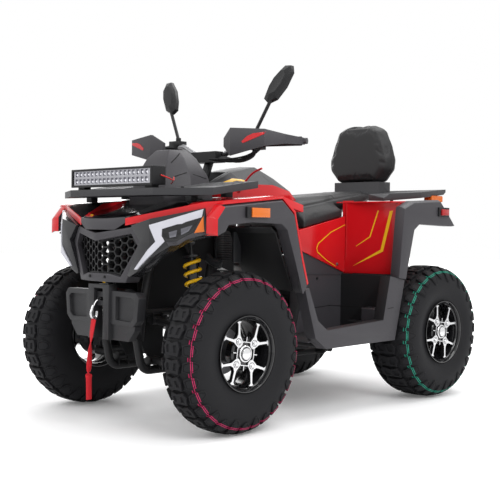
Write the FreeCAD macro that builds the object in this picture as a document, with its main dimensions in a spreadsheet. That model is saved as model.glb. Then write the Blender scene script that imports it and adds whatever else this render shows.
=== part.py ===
import FreeCAD, Part
import math
import os
import re

import Sketcher
from FreeCAD import Rotation, Vector

# A utility quad bike: tubular frame, swingarm rear, wishbone front, moulded bodywork.
# Millimetres, +Z up, front towards -Y, the rider's left is +X.
# The origin is on the ground, midway between the axles and on the centre plane.

doc = FreeCAD.newDocument("QuadBike")
sheet = doc.addObject("Spreadsheet::Sheet", "Sizes")
named = []
nodes = {}


def cell(name):
    """The sheet's cell of a named size, added when a formula first uses it."""
    if name not in named:
        named.append(name)
        row = len(named)
        sheet.set(f"A{row}", name)
        sheet.set(f"B{row}", str(globals()[name]))
        sheet.setAlias(f"B{row}", name)
        sheet.recompute()
    return "Sizes." + name


def formula(text):
    """Point every size named in a formula at its cell."""
    return re.sub(r"[a-z]\w+", lambda found: cell(found.group()), text)


def bind(made, **formulas):
    """Drive properties by formulas; two underscores stand for a dot."""
    for name, text in formulas.items():
        made.setExpression(name.replace("__", "."), formula(text))
    return made


def place(made, across="0", along="0", up="0"):
    """Bind an object's position."""
    return bind(made, Placement__Base__x=across, Placement__Base__y=along, Placement__Base__z=up)


def spread(shares, wide, tall, from_wide="0", from_tall="0"):
    """Outline points: shares of two sizes, measured from two starting formulas."""
    return [(f"{from_wide} + ({a}) * {wide}", f"{from_tall} + ({b}) * {tall}") for a, b in shares]


def body(label):
    made = doc.addObject("PartDesign::Body", label)
    made.Label = label
    return made


def sketch(owner, role, outlines, height="0"):
    """A sketch of closed outlines on one of the body's own planes, raised by a formula."""
    drawn = owner.newObject("Sketcher::SketchObject", "Sketch")
    face = [plane for plane in owner.Origin.OriginFeatures if plane.Role == role]
    drawn.AttachmentSupport = [(face[0], "")]
    drawn.MapMode = "FlatFace"
    drawn.setExpression("AttachmentOffset.Base.z", formula(height))
    for points in outlines:
        first = drawn.GeometryCount
        count = len(points)
        ring = [Vector(math.cos(k * math.tau / count), math.sin(k * math.tau / count), 0) for k in range(count)]
        for k in range(count):
            drawn.addGeometry(Part.LineSegment(ring[k], ring[(k + 1) % count]), False)
        for k in range(count):
            drawn.addConstraint(Sketcher.Constraint("Coincident", first + k, 2, first + (k + 1) % count, 1))
        for k, (across, up) in enumerate(points):
            for kind, text, start in (("DistanceX", across, ring[k].x), ("DistanceY", up, ring[k].y)):
                index = drawn.addConstraint(Sketcher.Constraint(kind, -1, 1, first + k, 1, start))
                drawn.setExpression(f"Constraints[{index}]", formula(text))
    return drawn


def feature(owner, kind, profile, **formulas):
    """A PartDesign feature on one profile."""
    made = owner.newObject("PartDesign::" + kind, kind)
    made.Profile = profile
    return bind(made, **formulas)


def pad(owner, role, outlines, length, height="0", reverse=False):
    made = feature(owner, "Pad", sketch(owner, role, outlines, height), Length=length)
    made.Reversed = reverse
    return made


def pad_middle(owner, role, outlines, length, height="0"):
    made = feature(owner, "Pad", sketch(owner, role, outlines, height), Length=length)
    made.SideType = "Symmetric"
    return made


def pocket_middle(owner, role, outlines, length, height="0"):
    made = feature(owner, "Pocket", sketch(owner, role, outlines, height), Length=length)
    made.SideType = "Symmetric"
    return made


def turned(owner, role, outline):
    """A revolution about the sketch's horizontal axis."""
    drawn = sketch(owner, role, [outline])
    made = owner.newObject("PartDesign::Revolution", "Revolution")
    made.Profile = drawn
    made.ReferenceAxis = (drawn, ["H_Axis"])
    made.Angle = 360
    return made


def loft(owner, role, sections):
    """A ruled loft through outlines, each at its own height formula."""
    drawn = [sketch(owner, role, [points], height) for height, points in sections]
    made = owner.newObject("PartDesign::AdditiveLoft", "Loft")
    made.Profile = drawn[0]
    made.Sections = drawn[1:]
    made.Ruled = True
    return made


def hollow(owner, wall, facing):
    """Shell the body to a wall, open at its flat faces whose normal is near the given way."""
    doc.recompute()
    solid = owner.Tip
    way = Vector(*facing)
    open_faces = [f"Face{k}" for k, face in enumerate(solid.Shape.Faces, 1)
                  if face.normalAt(0, 0).dot(way) > 0.99]
    made = owner.newObject("PartDesign::Thickness", "Thickness")
    made.Base = (solid, open_faces)
    made.Reversed = True
    return bind(made, Value=wall)


def ring_pattern(owner, original, axis, count):
    """Copies of a feature about an axis of the body; the count is a formula."""
    made = owner.newObject("PartDesign::PolarPattern", "PolarPattern")
    made.Originals = [original]
    line = [line for line in owner.Origin.OriginFeatures if line.Role == axis]
    made.Axis = (line[0], [""])
    made.Angle = 360
    bind(made, Occurrences=count)
    owner.Tip = made
    return made


def block(name, long, wide, tall, across, along, up):
    """A box by its three sizes, centred on a point."""
    made = doc.addObject("Part::Box", name)
    bind(made, Length=long, Width=wide, Height=tall)
    return place(made, f"{across} - ({long}) / 2", f"{along} - ({wide}) / 2", f"{up} - ({tall}) / 2")


def rod(name, radius, length, way, across, along, up):
    """A cylinder from a point, along X, Y or Z."""
    made = doc.addObject("Part::Cylinder", name)
    made.Placement.Rotation = Rotation(Vector(0, 0, 1), way)
    bind(made, Radius=radius, Height=length)
    return place(made, across, along, up)


def fused(label, pieces):
    made = doc.addObject("Part::MultiFuse", label)
    made.Label = label
    made.Shapes = pieces
    return made


def less(label, base, tool):
    made = doc.addObject("Part::Cut", label)
    made.Label = label
    made.Base = base
    made.Tool = tool
    return made


def gathered(label, pieces):
    """Like pieces of one body that don't touch, as one node."""
    made = doc.addObject("Part::Compound", label)
    made.Label = label
    made.Links = pieces
    return made


def other_side(piece, label):
    """The same piece mirrored to the other side of the bike."""
    made = doc.addObject("Part::Mirroring", label)
    made.Label = label
    made.Source = piece
    made.Normal = Vector(1, 0, 0)
    return made


def both_sides(label, piece):
    return gathered(label, [piece, other_side(piece, label + "_right")])


def solid(label, shape):
    """A free shape, made from the sheet's sizes."""
    made = doc.addObject("Part::Feature", label)
    made.Label = label
    made.Shape = shape
    return made


free_bend_share = 0.45


def tube_path(points, bend):
    """Straight runs with a tangent arc at each inner point, of one bend or as wide as the runs allow."""
    edges = []
    start = points[0]
    for before, corner, after in zip(points, points[1:], points[2:]):
        back = (before - corner).normalize()
        ahead = (after - corner).normalize()
        half_turn = (math.pi - back.getAngle(ahead)) / 2
        shorter = min((before - corner).Length, (after - corner).Length)
        reach = free_bend_share * shorter
        if bend is not None:
            reach = min(bend * math.tan(half_turn), shorter / 2)
        middle = (back + ahead).normalize()
        radius = reach / math.tan(half_turn)
        inner = corner + middle * (radius / math.cos(half_turn) - radius)
        edges.append(Part.LineSegment(start, corner + back * reach).toShape())
        edges.append(Part.Arc(corner + back * reach, inner, corner + ahead * reach).toShape())
        start = corner + ahead * reach
    edges.append(Part.LineSegment(start, points[-1]).toShape())
    return Part.Wire(edges)


def tube(points, radius, bend):
    """A round rod along straight runs and tangent arcs."""
    points = [Vector(*point) for point in points]
    path = tube_path(points, bend)
    section = Part.Wire(Part.makeCircle(radius, points[0], points[1] - points[0]))
    return path.makePipeShell([section], True, True)


def bar(start, end, radius):
    """A straight round rod between two points."""
    start, end = Vector(*start), Vector(*end)
    return Part.makeCylinder(radius, (end - start).Length, start, end - start)


def joined(pieces):
    """Welded pieces, joined one after another."""
    whole = pieces[0]
    for piece in pieces[1:]:
        whole = whole.fuse(piece)
    return whole


def mirrored(shape):
    return shape.mirror(Vector(0, 0, 0), Vector(1, 0, 0))


def keep(name, piece):
    """Register a finished piece as a node."""
    piece.Label = name
    nodes[name] = piece
    return piece


# Wheels: tyres on cast rims, two front wheels on their own hubs and two on the rear axle.
wheel_base = 1222
front_track = 867
rear_track = 832
tyre_diameter = 584
bead_diameter = 254
rim_diameter = 280
front_tyre_width = 176
rear_tyre_width = 240
seat_gap = 0.3
flange_thickness = 5
rim_wall = 5
spoke_thickness = 16
spoke_inset = 14
spoke_count = 4
wheel_hub_diameter = 124
hub_cap_diameter = 64
hub_cap_proud = 10
spindle_diameter = 30
running_gap = 0.3
part_gap = 6
tread_facets = 20
shoulder_block_rise = 11
block_root = 4
carcass_shares = [(0.88, 0), (0.88, 0.095), (1, 0.46), (0.96, 0.68), (0.86, 0.8), (0.62, 0.915)]
middle_block_shares = [(-0.36, -0.8), (0.27, -0.86), (0.4, 0.1), (-0.22, 0.16)]
shoulder_block_shares = [(-0.3, 0.05), (0.34, 0.05), (0.25, 0.95), (-0.22, 0.95)]
bead_share = 0.88
cap_edge_share = 1 / 2.6
fork_shares = [(0, 0.28), (0.074, 0.288), (0.136, 0.353), (0.152, 0.46), (0.168, 0.575), (0.353, 0.85), (0.5, 0.88),
               (0.349, 0.957), (0.279, 0.974), (0.283, 0.89), (0.107, 0.657), (0, 0.612)]
bolt_circle = 57
nut_radius = 8
nut_proud = 5
nut_corners = 6

axle_up = "tyre_diameter / 2"
front_along = "-wheel_base / 2"
rear_along = "wheel_base / 2"


def facet_block(corners, low, high):
    """A tread block on one flat facet: its outline sunk into the carcass and raised by its height."""
    way = (corners[1] - corners[0]).cross(corners[2] - corners[0]).normalize()
    if way.dot(corners[0]) < 0:
        way = -way
    ring = [corner - way * low for corner in corners]
    return Part.Face(Part.makePolygon(ring + ring[:1])).extrude(way * (low + high))


def tyre_shape(half):
    """A faceted carcass about the X axis, with staggered middle blocks and blocks on both shoulders."""
    tall = (tyre_diameter - bead_diameter) / 2
    side = [(across * half, bead_diameter / 2 + up * tall) for across, up in carcass_shares]
    side[0] = (side[0][0], bead_diameter / 2 / math.cos(math.pi / tread_facets))
    line = [(-across, radius) for across, radius in side] + side[::-1]
    turn = math.tau / tread_facets
    middle_block_rise = tyre_diameter / 2 - side[-1][1] * math.cos(turn / 2)

    def spot(across, radius, step):
        angle = (step - 0.5) * turn
        return Vector(across, radius * math.sin(angle), radius * math.cos(angle))

    faces = []
    blocks = []
    for step in range(tread_facets):
        for (x_a, r_a), (x_b, r_b) in zip(line, line[1:] + line[:1]):
            ring = [spot(x_a, r_a, step), spot(x_b, r_b, step), spot(x_b, r_b, step + 1), spot(x_a, r_a, step + 1)]
            faces.append(Part.Face(Part.makePolygon(ring + ring[:1])))
        way = 1 if step % 2 else -1
        crown, shoulder = side[-1], side[-2]
        for mirror, shares, rise in ((way, middle_block_shares, middle_block_rise),
                                     (1, shoulder_block_shares, shoulder_block_rise),
                                     (-1, shoulder_block_shares, shoulder_block_rise)):
            corners = []
            for along, up in shares:
                across, radius = crown[0] * up, crown[1]
                if shares is shoulder_block_shares:
                    across = crown[0] + up * (shoulder[0] - crown[0])
                    radius = crown[1] + up * (shoulder[1] - crown[1])
                near, far = spot(across * mirror, radius, step), spot(across * mirror, radius, step + 1)
                corners.append((near + far) / 2 + (far - near) * along)
            blocks.append(facet_block(corners, block_root, rise))
    carcass = Part.Solid(Part.Shell(faces))
    if carcass.Volume < 0:
        carcass.reverse()
    return carcass.fuse(blocks)


def rim(label, width):
    """Barrel with two flanges, Y-shaped spokes near the outer face and a centre disc."""
    made = body(label)
    seat = f"({bead_share} * {width} / 2 + seat_gap)"
    edge = f"({seat} + flange_thickness)"
    bed = "(bead_diameter / 2 - seat_gap)"
    half = [(edge, f"{bed} - rim_wall"), (edge, "rim_diameter / 2"), (seat, "rim_diameter / 2"), (seat, bed)]
    turned(made, "XZ_Plane", half + [(f"-{across}", up) for across, up in reversed(half)])
    fork_outline = fork_shares + [(-across, up) for across, up in fork_shares[-2:0:-1]]
    back_face = f"{edge} - spoke_inset - spoke_thickness"
    fork = pad(made, "YZ_Plane", [spread(fork_outline, f"({bed} - rim_wall)", f"({bed} - rim_wall)")],
               "spoke_thickness", back_face)
    ring_pattern(made, fork, "X_Axis", "spoke_count")
    corner_angles = [math.tau * corner / nut_corners for corner in range(nut_corners)]
    hexagon = spread([(math.cos(angle), math.sin(angle)) for angle in corner_angles], "nut_radius", "nut_radius",
                     from_tall="bolt_circle")
    nut = pad(made, "YZ_Plane", [hexagon], "spoke_thickness + nut_proud", back_face)
    ring_pattern(made, nut, "X_Axis", "spoke_count")
    back = f"({edge} - spoke_inset - spoke_thickness - hub_cap_proud)"
    turned(made, "XZ_Plane", [(back, "spindle_diameter / 2 + seat_gap"), (back, "wheel_hub_diameter / 2"),
                              (f"{edge} - spoke_inset", "wheel_hub_diameter / 2"),
                              (f"{edge} - spoke_inset", "hub_cap_diameter / 2"),
                              (f"{edge}", "hub_cap_diameter * cap_edge_share"),
                              (edge, "spindle_diameter / 2 + seat_gap")])
    return made


for side, way in (("left", 1), ("right", -1)):
    rubber = solid("tyre_front_" + side, tyre_shape(front_tyre_width / 2))
    keep("tyre_front_" + side, place(rubber, f"{way} * front_track / 2", front_along, axle_up))

rim_left = place(rim("rim_front_left", "front_tyre_width"), "front_track / 2", front_along, axle_up)
keep("rim_front_left", rim_left)
keep("rim_front_right", other_side(rim_left, "rim_front_right"))
rear_tyre = place(solid("rear_tyre", tyre_shape(rear_tyre_width / 2)), "rear_track / 2", rear_along, axle_up)
keep("tyres_rear", both_sides("tyres_rear", rear_tyre))
rear_rim = place(rim("rear_rim", "rear_tyre_width"), "rear_track / 2", rear_along, axle_up)
keep("rims_rear", both_sides("rims_rear", rear_rim))

# Rear axle: one shaft through the bearing carrier, with the brake disc and the final drive's flange.
axle_diameter = 38
brake_disc_diameter = 200
brake_disc_thickness = 5
brake_disc_across = -110
hub_flange_diameter = 110
hub_flange_thickness = 14
rear_face = f"({bead_share} * rear_tyre_width / 2 + seat_gap + flange_thickness)"
wheel_back = f"(rear_track / 2 + {rear_face} - spoke_inset - spoke_thickness - hub_cap_proud)"
axle_end = f"(rear_track / 2 + {rear_face} - hub_cap_proud)"
axle = body("rear_axle")
stub = "(spindle_diameter / 2)"
half_axle = [(axle_end, "0"), (axle_end, stub), (f"{wheel_back} - seat_gap", stub),
             (f"{wheel_back} - seat_gap", "hub_flange_diameter / 2"),
             (f"{wheel_back} - seat_gap - hub_flange_thickness", "hub_flange_diameter / 2"),
             (f"{wheel_back} - seat_gap - hub_flange_thickness", "axle_diameter / 2")]
disc_near = "(brake_disc_across + brake_disc_thickness)"
turned(axle, "XZ_Plane", half_axle + [
    (disc_near, "axle_diameter / 2"), (disc_near, "brake_disc_diameter / 2"),
    ("brake_disc_across", "brake_disc_diameter / 2"), ("brake_disc_across", "axle_diameter / 2"),
] + [(f"-({across})", up) for across, up in reversed(half_axle)])
keep("rear_axle", place(axle, "0", rear_along, axle_up))

# Front suspension: upright, two wishbones and a spring strut on each side.
kingpin_across = 350
upright_width = 30
upright_depth = 44
ball_spread = 60
eye_height = 28
eye_diameter = 36
kingpin_diameter = 16
pin_gap = 0.4
wishbone_diameter = 26
wishbone_foot_spread = 90
wishbone_knee_spread = 62
wishbone_knee_across = 296
lower_foot_across = 92
upper_foot_across = 112
upper_foot_up = 388
lower_foot_up = 236
steer_arm = 56
steer_arm_width = 30
steer_arm_thickness = 10
front_disc_diameter = 170
front_disc_thickness = 4
front_disc_across = 386
caliper_reach = 112
caliper_depth = 46
caliper_height = 54
caliper_width = 34
tie_pin_diameter = 10
tie_post_height = 22
lower_ball = "(tyre_diameter / 2 - ball_spread)"


def front_upright():
    """Forged upright with the spindle, its two kingpin ends, the steering arm and the caliper."""
    web_tall = "(2 * ball_spread - eye_height - 2 * pin_gap)"
    web = block("upright_web", "upright_width", "upright_depth", web_tall, "kingpin_across", front_along, axle_up)
    pin = rod("kingpin", "kingpin_diameter / 2 - pin_gap", "2 * ball_spread + eye_height", Vector(0, 0, 1),
              "kingpin_across", front_along, f"{lower_ball} - eye_height / 2")
    spindle = rod("spindle", "spindle_diameter / 2", f"{front_hub_end} - kingpin_across", Vector(1, 0, 0),
                  "kingpin_across", front_along, axle_up)
    arm = block("steer_arm", "upright_width", "steer_arm + steer_arm_width / 2", "steer_arm_thickness",
                "kingpin_across", f"{front_along} + (steer_arm + steer_arm_width / 2) / 2", axle_up)
    caliper = block("caliper", "caliper_width", "caliper_depth", "caliper_height", "front_disc_across",
                    f"{front_along} - caliper_reach + caliper_depth / 2", axle_up)
    slot = block("caliper_slot", "front_disc_thickness + 2 * part_gap", "caliper_depth", "caliper_height + part_gap",
                 "front_disc_across", f"{front_along} - caliper_reach + caliper_depth / 2 + caliper_depth / 4",
                 axle_up)
    bracket_width = "(front_disc_across - caliper_width / 4 - kingpin_across)"
    bracket = block("caliper_bracket", bracket_width, "caliper_reach - caliper_depth / 4", "upright_depth / 2",
                    f"kingpin_across + {bracket_width} / 2",
                    f"{front_along} - (caliper_reach - caliper_depth / 4) / 2",
                    axle_up)
    tie_post = rod("tie_post", "tie_pin_diameter / 2", "steer_arm_thickness / 2 + tie_post_height", Vector(0, 0, 1),
                   "kingpin_across", f"{front_along} + steer_arm", axle_up)
    return fused("knuckle", [web, pin, spindle, arm, tie_post, bracket, less("caliper_slotted", caliper, slot)])


front_face = f"({bead_share} * front_tyre_width / 2 + seat_gap + flange_thickness)"
front_hub_end = f"(front_track / 2 + {front_face} - hub_cap_proud)"
knuckle = front_upright()
keep("knuckle_left", knuckle)
keep("knuckle_right", other_side(knuckle, "knuckle_right"))

hub_back = f"(front_track / 2 + {front_face} - spoke_inset - spoke_thickness - hub_cap_proud)"
hub = body("front_hub")
turned(hub, "XZ_Plane", [
    (f"{hub_back} - seat_gap", "spindle_diameter / 2 + running_gap"),
    (f"{hub_back} - seat_gap", "hub_flange_diameter / 2"),
    (f"{hub_back} - seat_gap - hub_flange_thickness", "hub_flange_diameter / 2"),
    (f"{hub_back} - seat_gap - hub_flange_thickness", "axle_diameter"),
    ("front_disc_across + front_disc_thickness / 2", "axle_diameter"),
    ("front_disc_across + front_disc_thickness / 2", "front_disc_diameter / 2"),
    ("front_disc_across - front_disc_thickness / 2", "front_disc_diameter / 2"),
    ("front_disc_across - front_disc_thickness / 2", "spindle_diameter / 2 + running_gap"),
])
place(hub, "0", front_along, axle_up)
keep("hub_front_left", hub)
keep("hub_front_right", other_side(hub, "hub_front_right"))


def wishbone(name, foot_across, foot_up, ball_up):
    """A bent hoop from two frame feet to the ball joint's eye."""
    along = -wheel_base / 2
    up = tyre_diameter / 2 + ball_up
    knee_up = up + (foot_up - up) * (kingpin_across - wishbone_knee_across) / (
        kingpin_across - foot_across)
    eye_edge = kingpin_across - eye_diameter / 2
    half = [(foot_across, wishbone_foot_spread, foot_up),
            (wishbone_knee_across, wishbone_knee_spread, knee_up)]
    radius = wishbone_diameter / 2
    legs = []
    for way in (-1, 1):
        path = [(across, along + way * spread_out, height) for across, spread_out, height in half]
        path.append((eye_edge, along + way * radius / 2, up))
        legs.append(tube(path, radius, wishbone_diameter * 2))
    eye = Part.makeCylinder(eye_diameter / 2, eye_height,
                            Vector(kingpin_across, along, up - eye_height / 2))
    hole = Part.makeCylinder(kingpin_diameter / 2, eye_height,
                             Vector(kingpin_across, along, up - eye_height / 2))
    return eye.fuse(legs).cut(hole).removeSplitter()


lower = wishbone("lower", lower_foot_across, lower_foot_up, -ball_spread)
upper = wishbone("upper", upper_foot_across, upper_foot_up, ball_spread)


# Tubular frame: two main rails, a front hoop, seat rails, cross tubes and the bearing housings.
rail_diameter = 32
cross_diameter = 26
frame_bend = 48
rail_across = 95
rail_up = 200
rail_front = 172
nose_along = 168
nose_up = 330
rail_rear = 330
upright_lean = 180
top_rail_across = 112
hoop_knee = 146
hoop_knee_up = 470
hoop_top = 110
hoop_top_up = 640
head_up = 752
waist_along = 40
waist_up = 676
seat_rail_along = 520
seat_rail_up = 742
tail_along = 770
tail_up = 772
mid_rail_up = 418
deck_corner_up = 828
deck_high = 858
deck_sheet = 26
deck_rear = 330
post_ahead = 128
rear_rack_low = 863
rear_rack_rise = 44
rear_rack_knee = 600
rear_rack_rear = 842
slot_width = 22
ear_thickness = 5
ear_length = 34
bush_length = 40
bush_diameter = 32
strut_lower_across = 290
strut_upper_across = 226
strut_along = 22
strut_lower_up = 262
strut_upper_up = 686
strut_eye_diameter = 28
strut_eye_length = 24
strut_pin_diameter = 12
outrigger_front = 130
outrigger_rear = 240
outrigger_across = 420
outrigger_knee = 142
floor_up = 302
floor_thickness = 6
swing_pivot_along = 346
swing_pivot_up = 262
swing_pivot_across = 78
pivot_plate = 60
stay_diameter = 16
stay_across = 235
rear_stay_along = 773
rear_strut_top_along = 372
rear_strut_top_up = 660
rear_strut_foot_along = 500
rear_strut_foot_up = 352
stem_head_along = 320
stem_head_up = 1030
stem_foot_along = 607
stem_foot_up = 300
stem_diameter = 36
upper_bearing_up = 744
bearing_length = 46
bearing_diameter = 56
winch_diameter = 76
winch_foot_up = 432
winch_plate = 6
guard_ahead = 261
guard_depth = 36
rail = rail_diameter / 2
cross = cross_diameter / 2
strut_top = strut_upper_up + strut_eye_diameter / 2 + seat_gap + cross
outrigger_up = floor_up - floor_thickness - seat_gap - cross
bend = frame_bend
front_y = -wheel_base / 2
hub_z = tyre_diameter / 2


deck_under_stay = (deck_corner_up - deck_sheet - seat_gap
                   + (deck_high - deck_corner_up) * (post_ahead - strut_along
                                                                     - stay_diameter / 2)
                   / (post_ahead + deck_rear / 2))
rack_under_stay = (rear_rack_low + rear_rack_rise / 2 - seat_gap + rear_rack_rise / 2
                   * (rear_stay_along - stay_diameter / 2 - rear_rack_knee)
                   / (rear_rack_rear - slot_width - rear_rack_knee))
stem_head = Vector(0, -stem_head_along, stem_head_up)
stem_foot = Vector(0, -stem_foot_along, stem_foot_up)
stem_line = (stem_head - stem_foot).normalize()


def stem_at(up):
    """The steering axis at a height."""
    return stem_foot + stem_line * ((up - stem_foot.z) / stem_line.z)


def ears(across, along, up, root_across, root_up):
    """Two plates either side of a bush or eye whose axis lies along the bike."""
    plates = []
    for way in (-1, 1):
        near = bush_length / 2 + seat_gap
        start = along + way * near
        wall = ear_thickness
        low, high = sorted((root_up, up + bush_diameter / 4 * (1 if up > root_up else -1)))
        left, right = sorted((root_across, across))
        half = ear_length / 2
        plates.append(Part.makeBox(right - left + 2 * half, wall, high - low,
                                   Vector(left - half, start if way > 0 else start - wall, low)))
    return plates


def frame_shape():
    rail_x, top_x = rail_across, top_rail_across
    low = rail_up
    top_of_hoop = (top_x, front_y - hoop_top, hoop_top_up)
    knee = (top_x, front_y - hoop_knee, hoop_knee_up)
    over_axle = (top_x, front_y - strut_along, strut_top)
    tail = (top_x, tail_along, tail_up)
    head_y = front_y + hoop_top * 2
    brace_y = front_y + hoop_top * 1.5
    seat_rail = (top_x, seat_rail_along, seat_rail_up)
    one_side = [
        tube([(rail_x, front_y - nose_along, nose_up),
              (rail_x, front_y - rail_front + 2 * rail, low), (rail_x, rail_rear, low),
              (top_x, rail_rear + upright_lean, seat_rail_up)], rail, bend),
        tube([(rail_x, front_y - nose_along + rail, nose_up - rail), knee, top_of_hoop, over_axle,
              (top_x, head_y, head_up),
              (top_x, -waist_along, waist_up), seat_rail, tail], rail, bend),
        bar((top_x, knee[1], mid_rail_up), (rail_x, head_y, mid_rail_up), cross),
        bar((rail_x, brace_y, low), (rail_x, brace_y, mid_rail_up), cross),
        bar((rail_x, brace_y, mid_rail_up), (top_x, head_y, head_up), cross),
        bar((0, front_y - strut_along, strut_top),
            (strut_upper_across + ear_length / 2, front_y - strut_along,
             strut_top), cross),
    ]
    for along in (-outrigger_front, outrigger_rear):
        one_side.append(tube([(0, along, low), (outrigger_knee, along, low),
                              (outrigger_knee + outrigger_up - low, along, outrigger_up),
                              (outrigger_across, along, outrigger_up)], cross, bend / 2))
    for along in (front_y - wishbone_foot_spread, front_y + wishbone_foot_spread):
        one_side += ears(lower_foot_across, along, lower_foot_up, rail_x, low)
        one_side += ears(upper_foot_across, along, upper_foot_up, top_x, mid_rail_up)
    shape = joined(one_side)
    shape = shape.fuse(mirrored(shape))
    across_tubes = []
    for along, up in ((front_y - nose_along, nose_up), (rail_rear, low)):
        across_tubes.append(bar((-top_x, along, up), (top_x, along, up), cross))
    for up in (mid_rail_up, upper_bearing_up):
        middle = stem_at(up)
        across_tubes.append(bar((-top_x, middle.y, up), (top_x, middle.y, up), cross))
        across_tubes.append(bar(middle - stem_line * (bearing_length / 2),
                                middle + stem_line * (bearing_length / 2), bearing_diameter / 2))
    across_tubes.append(Part.makeBox(2 * top_x, winch_diameter, winch_plate,
                                     Vector(-top_x, knee[1] - winch_diameter,
                                            winch_foot_up - seat_gap - winch_plate)))
    guard_back = front_y - guard_ahead + guard_depth + seat_gap
    for way in (-1, 1):
        across_tubes.append(bar((way * top_x, knee[1], hoop_knee_up), (way * top_x, guard_back, hoop_knee_up), cross))
    stay = stay_diameter / 2
    for way in (-1, 1):
        plate = Part.makeBox(rail_x - swing_pivot_across, pivot_plate, pivot_plate)
        inner = swing_pivot_across + seat_gap if way > 0 else -rail_x - seat_gap
        plate.translate(Vector(inner, swing_pivot_along - pivot_plate / 2,
                               swing_pivot_up - pivot_plate / 2))
        across_tubes.append(plate)
        across_tubes.append(bar((way * stay_across, front_y - strut_along, strut_top),
                                (way * stay_across, front_y - strut_along, deck_under_stay), stay))
        across_tubes.append(bar((way * top_x, rear_stay_along, tail_up),
                                (way * top_x, rear_stay_along, rack_under_stay), stay))
    whole = joined([shape] + across_tubes)
    bore = stem_diameter / 2 + running_gap
    return whole.cut(bar(stem_at(rail_up), stem_at(2 * hoop_top_up), bore))


keep("frame", solid("frame", frame_shape()))

# Bolted tubes between the top rails: at the front hoop, under the tank, under the seat and at the tail.
tie_reach = top_rail_across - rail - seat_gap
tie_places = [(front_y - (hoop_knee + hoop_top) / 2, (hoop_knee_up + hoop_top_up) / 2), (-waist_along, waist_up),
              (seat_rail_along, seat_rail_up), (tail_along, tail_up)]
ties = [bar((-tie_reach, along, up), (tie_reach, along, up), cross) for along, up in tie_places]
keep("frame_ties", solid("frame_ties", Part.makeCompound(ties)))

# Wishbones, with a bush at each frame foot and a strut pin on the lower one.
def with_bushes(shape, foot_across, foot_up):
    for along in (front_y - wishbone_foot_spread, front_y + wishbone_foot_spread):
        start = Vector(foot_across, along - bush_length / 2, foot_up)
        shape = shape.fuse(Part.makeCylinder(bush_diameter / 2, bush_length, start, Vector(0, 1, 0)))
    return shape.removeSplitter()


def strut_eye_pin(across, up):
    start = Vector(across, front_y - strut_along - bush_length / 2, up)
    return Part.makeCylinder(strut_pin_diameter / 2, bush_length, start, Vector(0, 1, 0))


lower_arm = with_bushes(lower, lower_foot_across, lower_foot_up)
upper_arm = with_bushes(upper, upper_foot_across, upper_foot_up)
arms = [solid("lower_wishbone", lower_arm), solid("upper_wishbone", upper_arm)]
keep("wishbones", gathered("wishbones", arms + [other_side(arm, arm.Label + "_right") for arm in arms]))

# Spring struts: eye, damper body, rod and spring seats; the rear one is a single unit.
rod_diameter = 16
spring_diameter = 66
spring_wire = 11
spring_seat = 7
spring_turns = 5.5
coil_facets = 16
damper_clearance = 1
wire_corners = 6
spring_start_share = 0.3
spring_end_share = 0.86


def coil(low, high):
    """A spring of straight facets between two seats, its wire just clear of both."""
    way = high - low
    stations = round(spring_turns * coil_facets)
    rise = (way.Length - spring_wire) / stations
    turned = Rotation(Vector(0, 0, 1), way)
    corners = []
    for station in range(stations + 1):
        around = math.tau * station / coil_facets
        ring = []
        for corner in range(wire_corners):
            angle = math.tau * corner / wire_corners
            out = (spring_diameter - spring_wire + spring_wire * math.cos(angle)) / 2
            up = rise * station + spring_wire * (1 + math.sin(angle)) / 2
            ring.append(low + turned.multVec(Vector(out * math.cos(around), out * math.sin(around), up)))
        corners.append(ring)
    faces = [Part.Face(Part.makePolygon(ring + ring[:1])) for ring in (corners[0], corners[-1])]
    for near, far in zip(corners, corners[1:]):
        for corner in range(wire_corners):
            after = (corner + 1) % wire_corners
            faces.append(Part.Face(Part.makePolygon([near[corner], near[after], far[after], near[corner]])))
            faces.append(Part.Face(Part.makePolygon([near[corner], far[after], far[corner], near[corner]])))
    shape = Part.makeSolid(Part.makeShell(faces))
    return shape if shape.Volume > 0 else shape.reversed()


def strut(foot, head):
    """Damper, seats and eyes between two points; the spring's own space stays free."""
    foot, head = Vector(*foot), Vector(*head)
    way = (head - foot).normalize()
    long = (head - foot).Length
    seat_low = foot + way * (long * spring_start_share)
    seat_high = foot + way * (long * spring_end_share)
    seat = spring_seat
    parts = [
        Part.makeCylinder(rod_diameter / 2, long, foot, way),
        Part.makeCylinder(spring_diameter / 2 - spring_wire - damper_clearance, long / 2, seat_low, way),
        Part.makeCylinder(spring_diameter / 2, seat, seat_low - way * seat, way),
        Part.makeCylinder(spring_diameter / 2, seat, seat_high, way),
    ]
    for point in (foot, head):
        start = point - Vector(0, strut_eye_length / 2, 0)
        parts.append(Part.makeCylinder(strut_eye_diameter / 2, strut_eye_length, start, Vector(0, 1, 0)))
    damper = parts[0].fuse(parts[1:]).removeSplitter()
    return damper, coil(seat_low + way * seat_gap, seat_high - way * seat_gap)


strut_y = front_y - strut_along
front_strut, front_spring = strut((strut_lower_across, strut_y, strut_lower_up),
                                  (strut_upper_across, strut_y, strut_upper_up))
rear_strut, rear_spring = strut((0, rear_strut_foot_along, rear_strut_foot_up),
                                (0, rear_strut_top_along, rear_strut_top_up))
dampers = [front_strut, mirrored(front_strut), rear_strut]
springs = [front_spring, mirrored(front_spring), rear_spring]
keep("dampers", solid("dampers", Part.makeCompound(dampers)))
keep("springs", solid("springs", Part.makeCompound(springs)))

# Swingarm with the axle's bearing carrier, final drive case and tow plate.
carrier_diameter = 84
carrier_length = 150
swing_arm_diameter = 44
final_case_diameter = 150
final_case_across = 52
final_case_length = 44
swing_shaft_diameter = 64
hitch_length = 190
hitch_width = 64
hitch_thickness = 8
hitch_hole_diameter = 16
hitch_drop = 30


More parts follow.
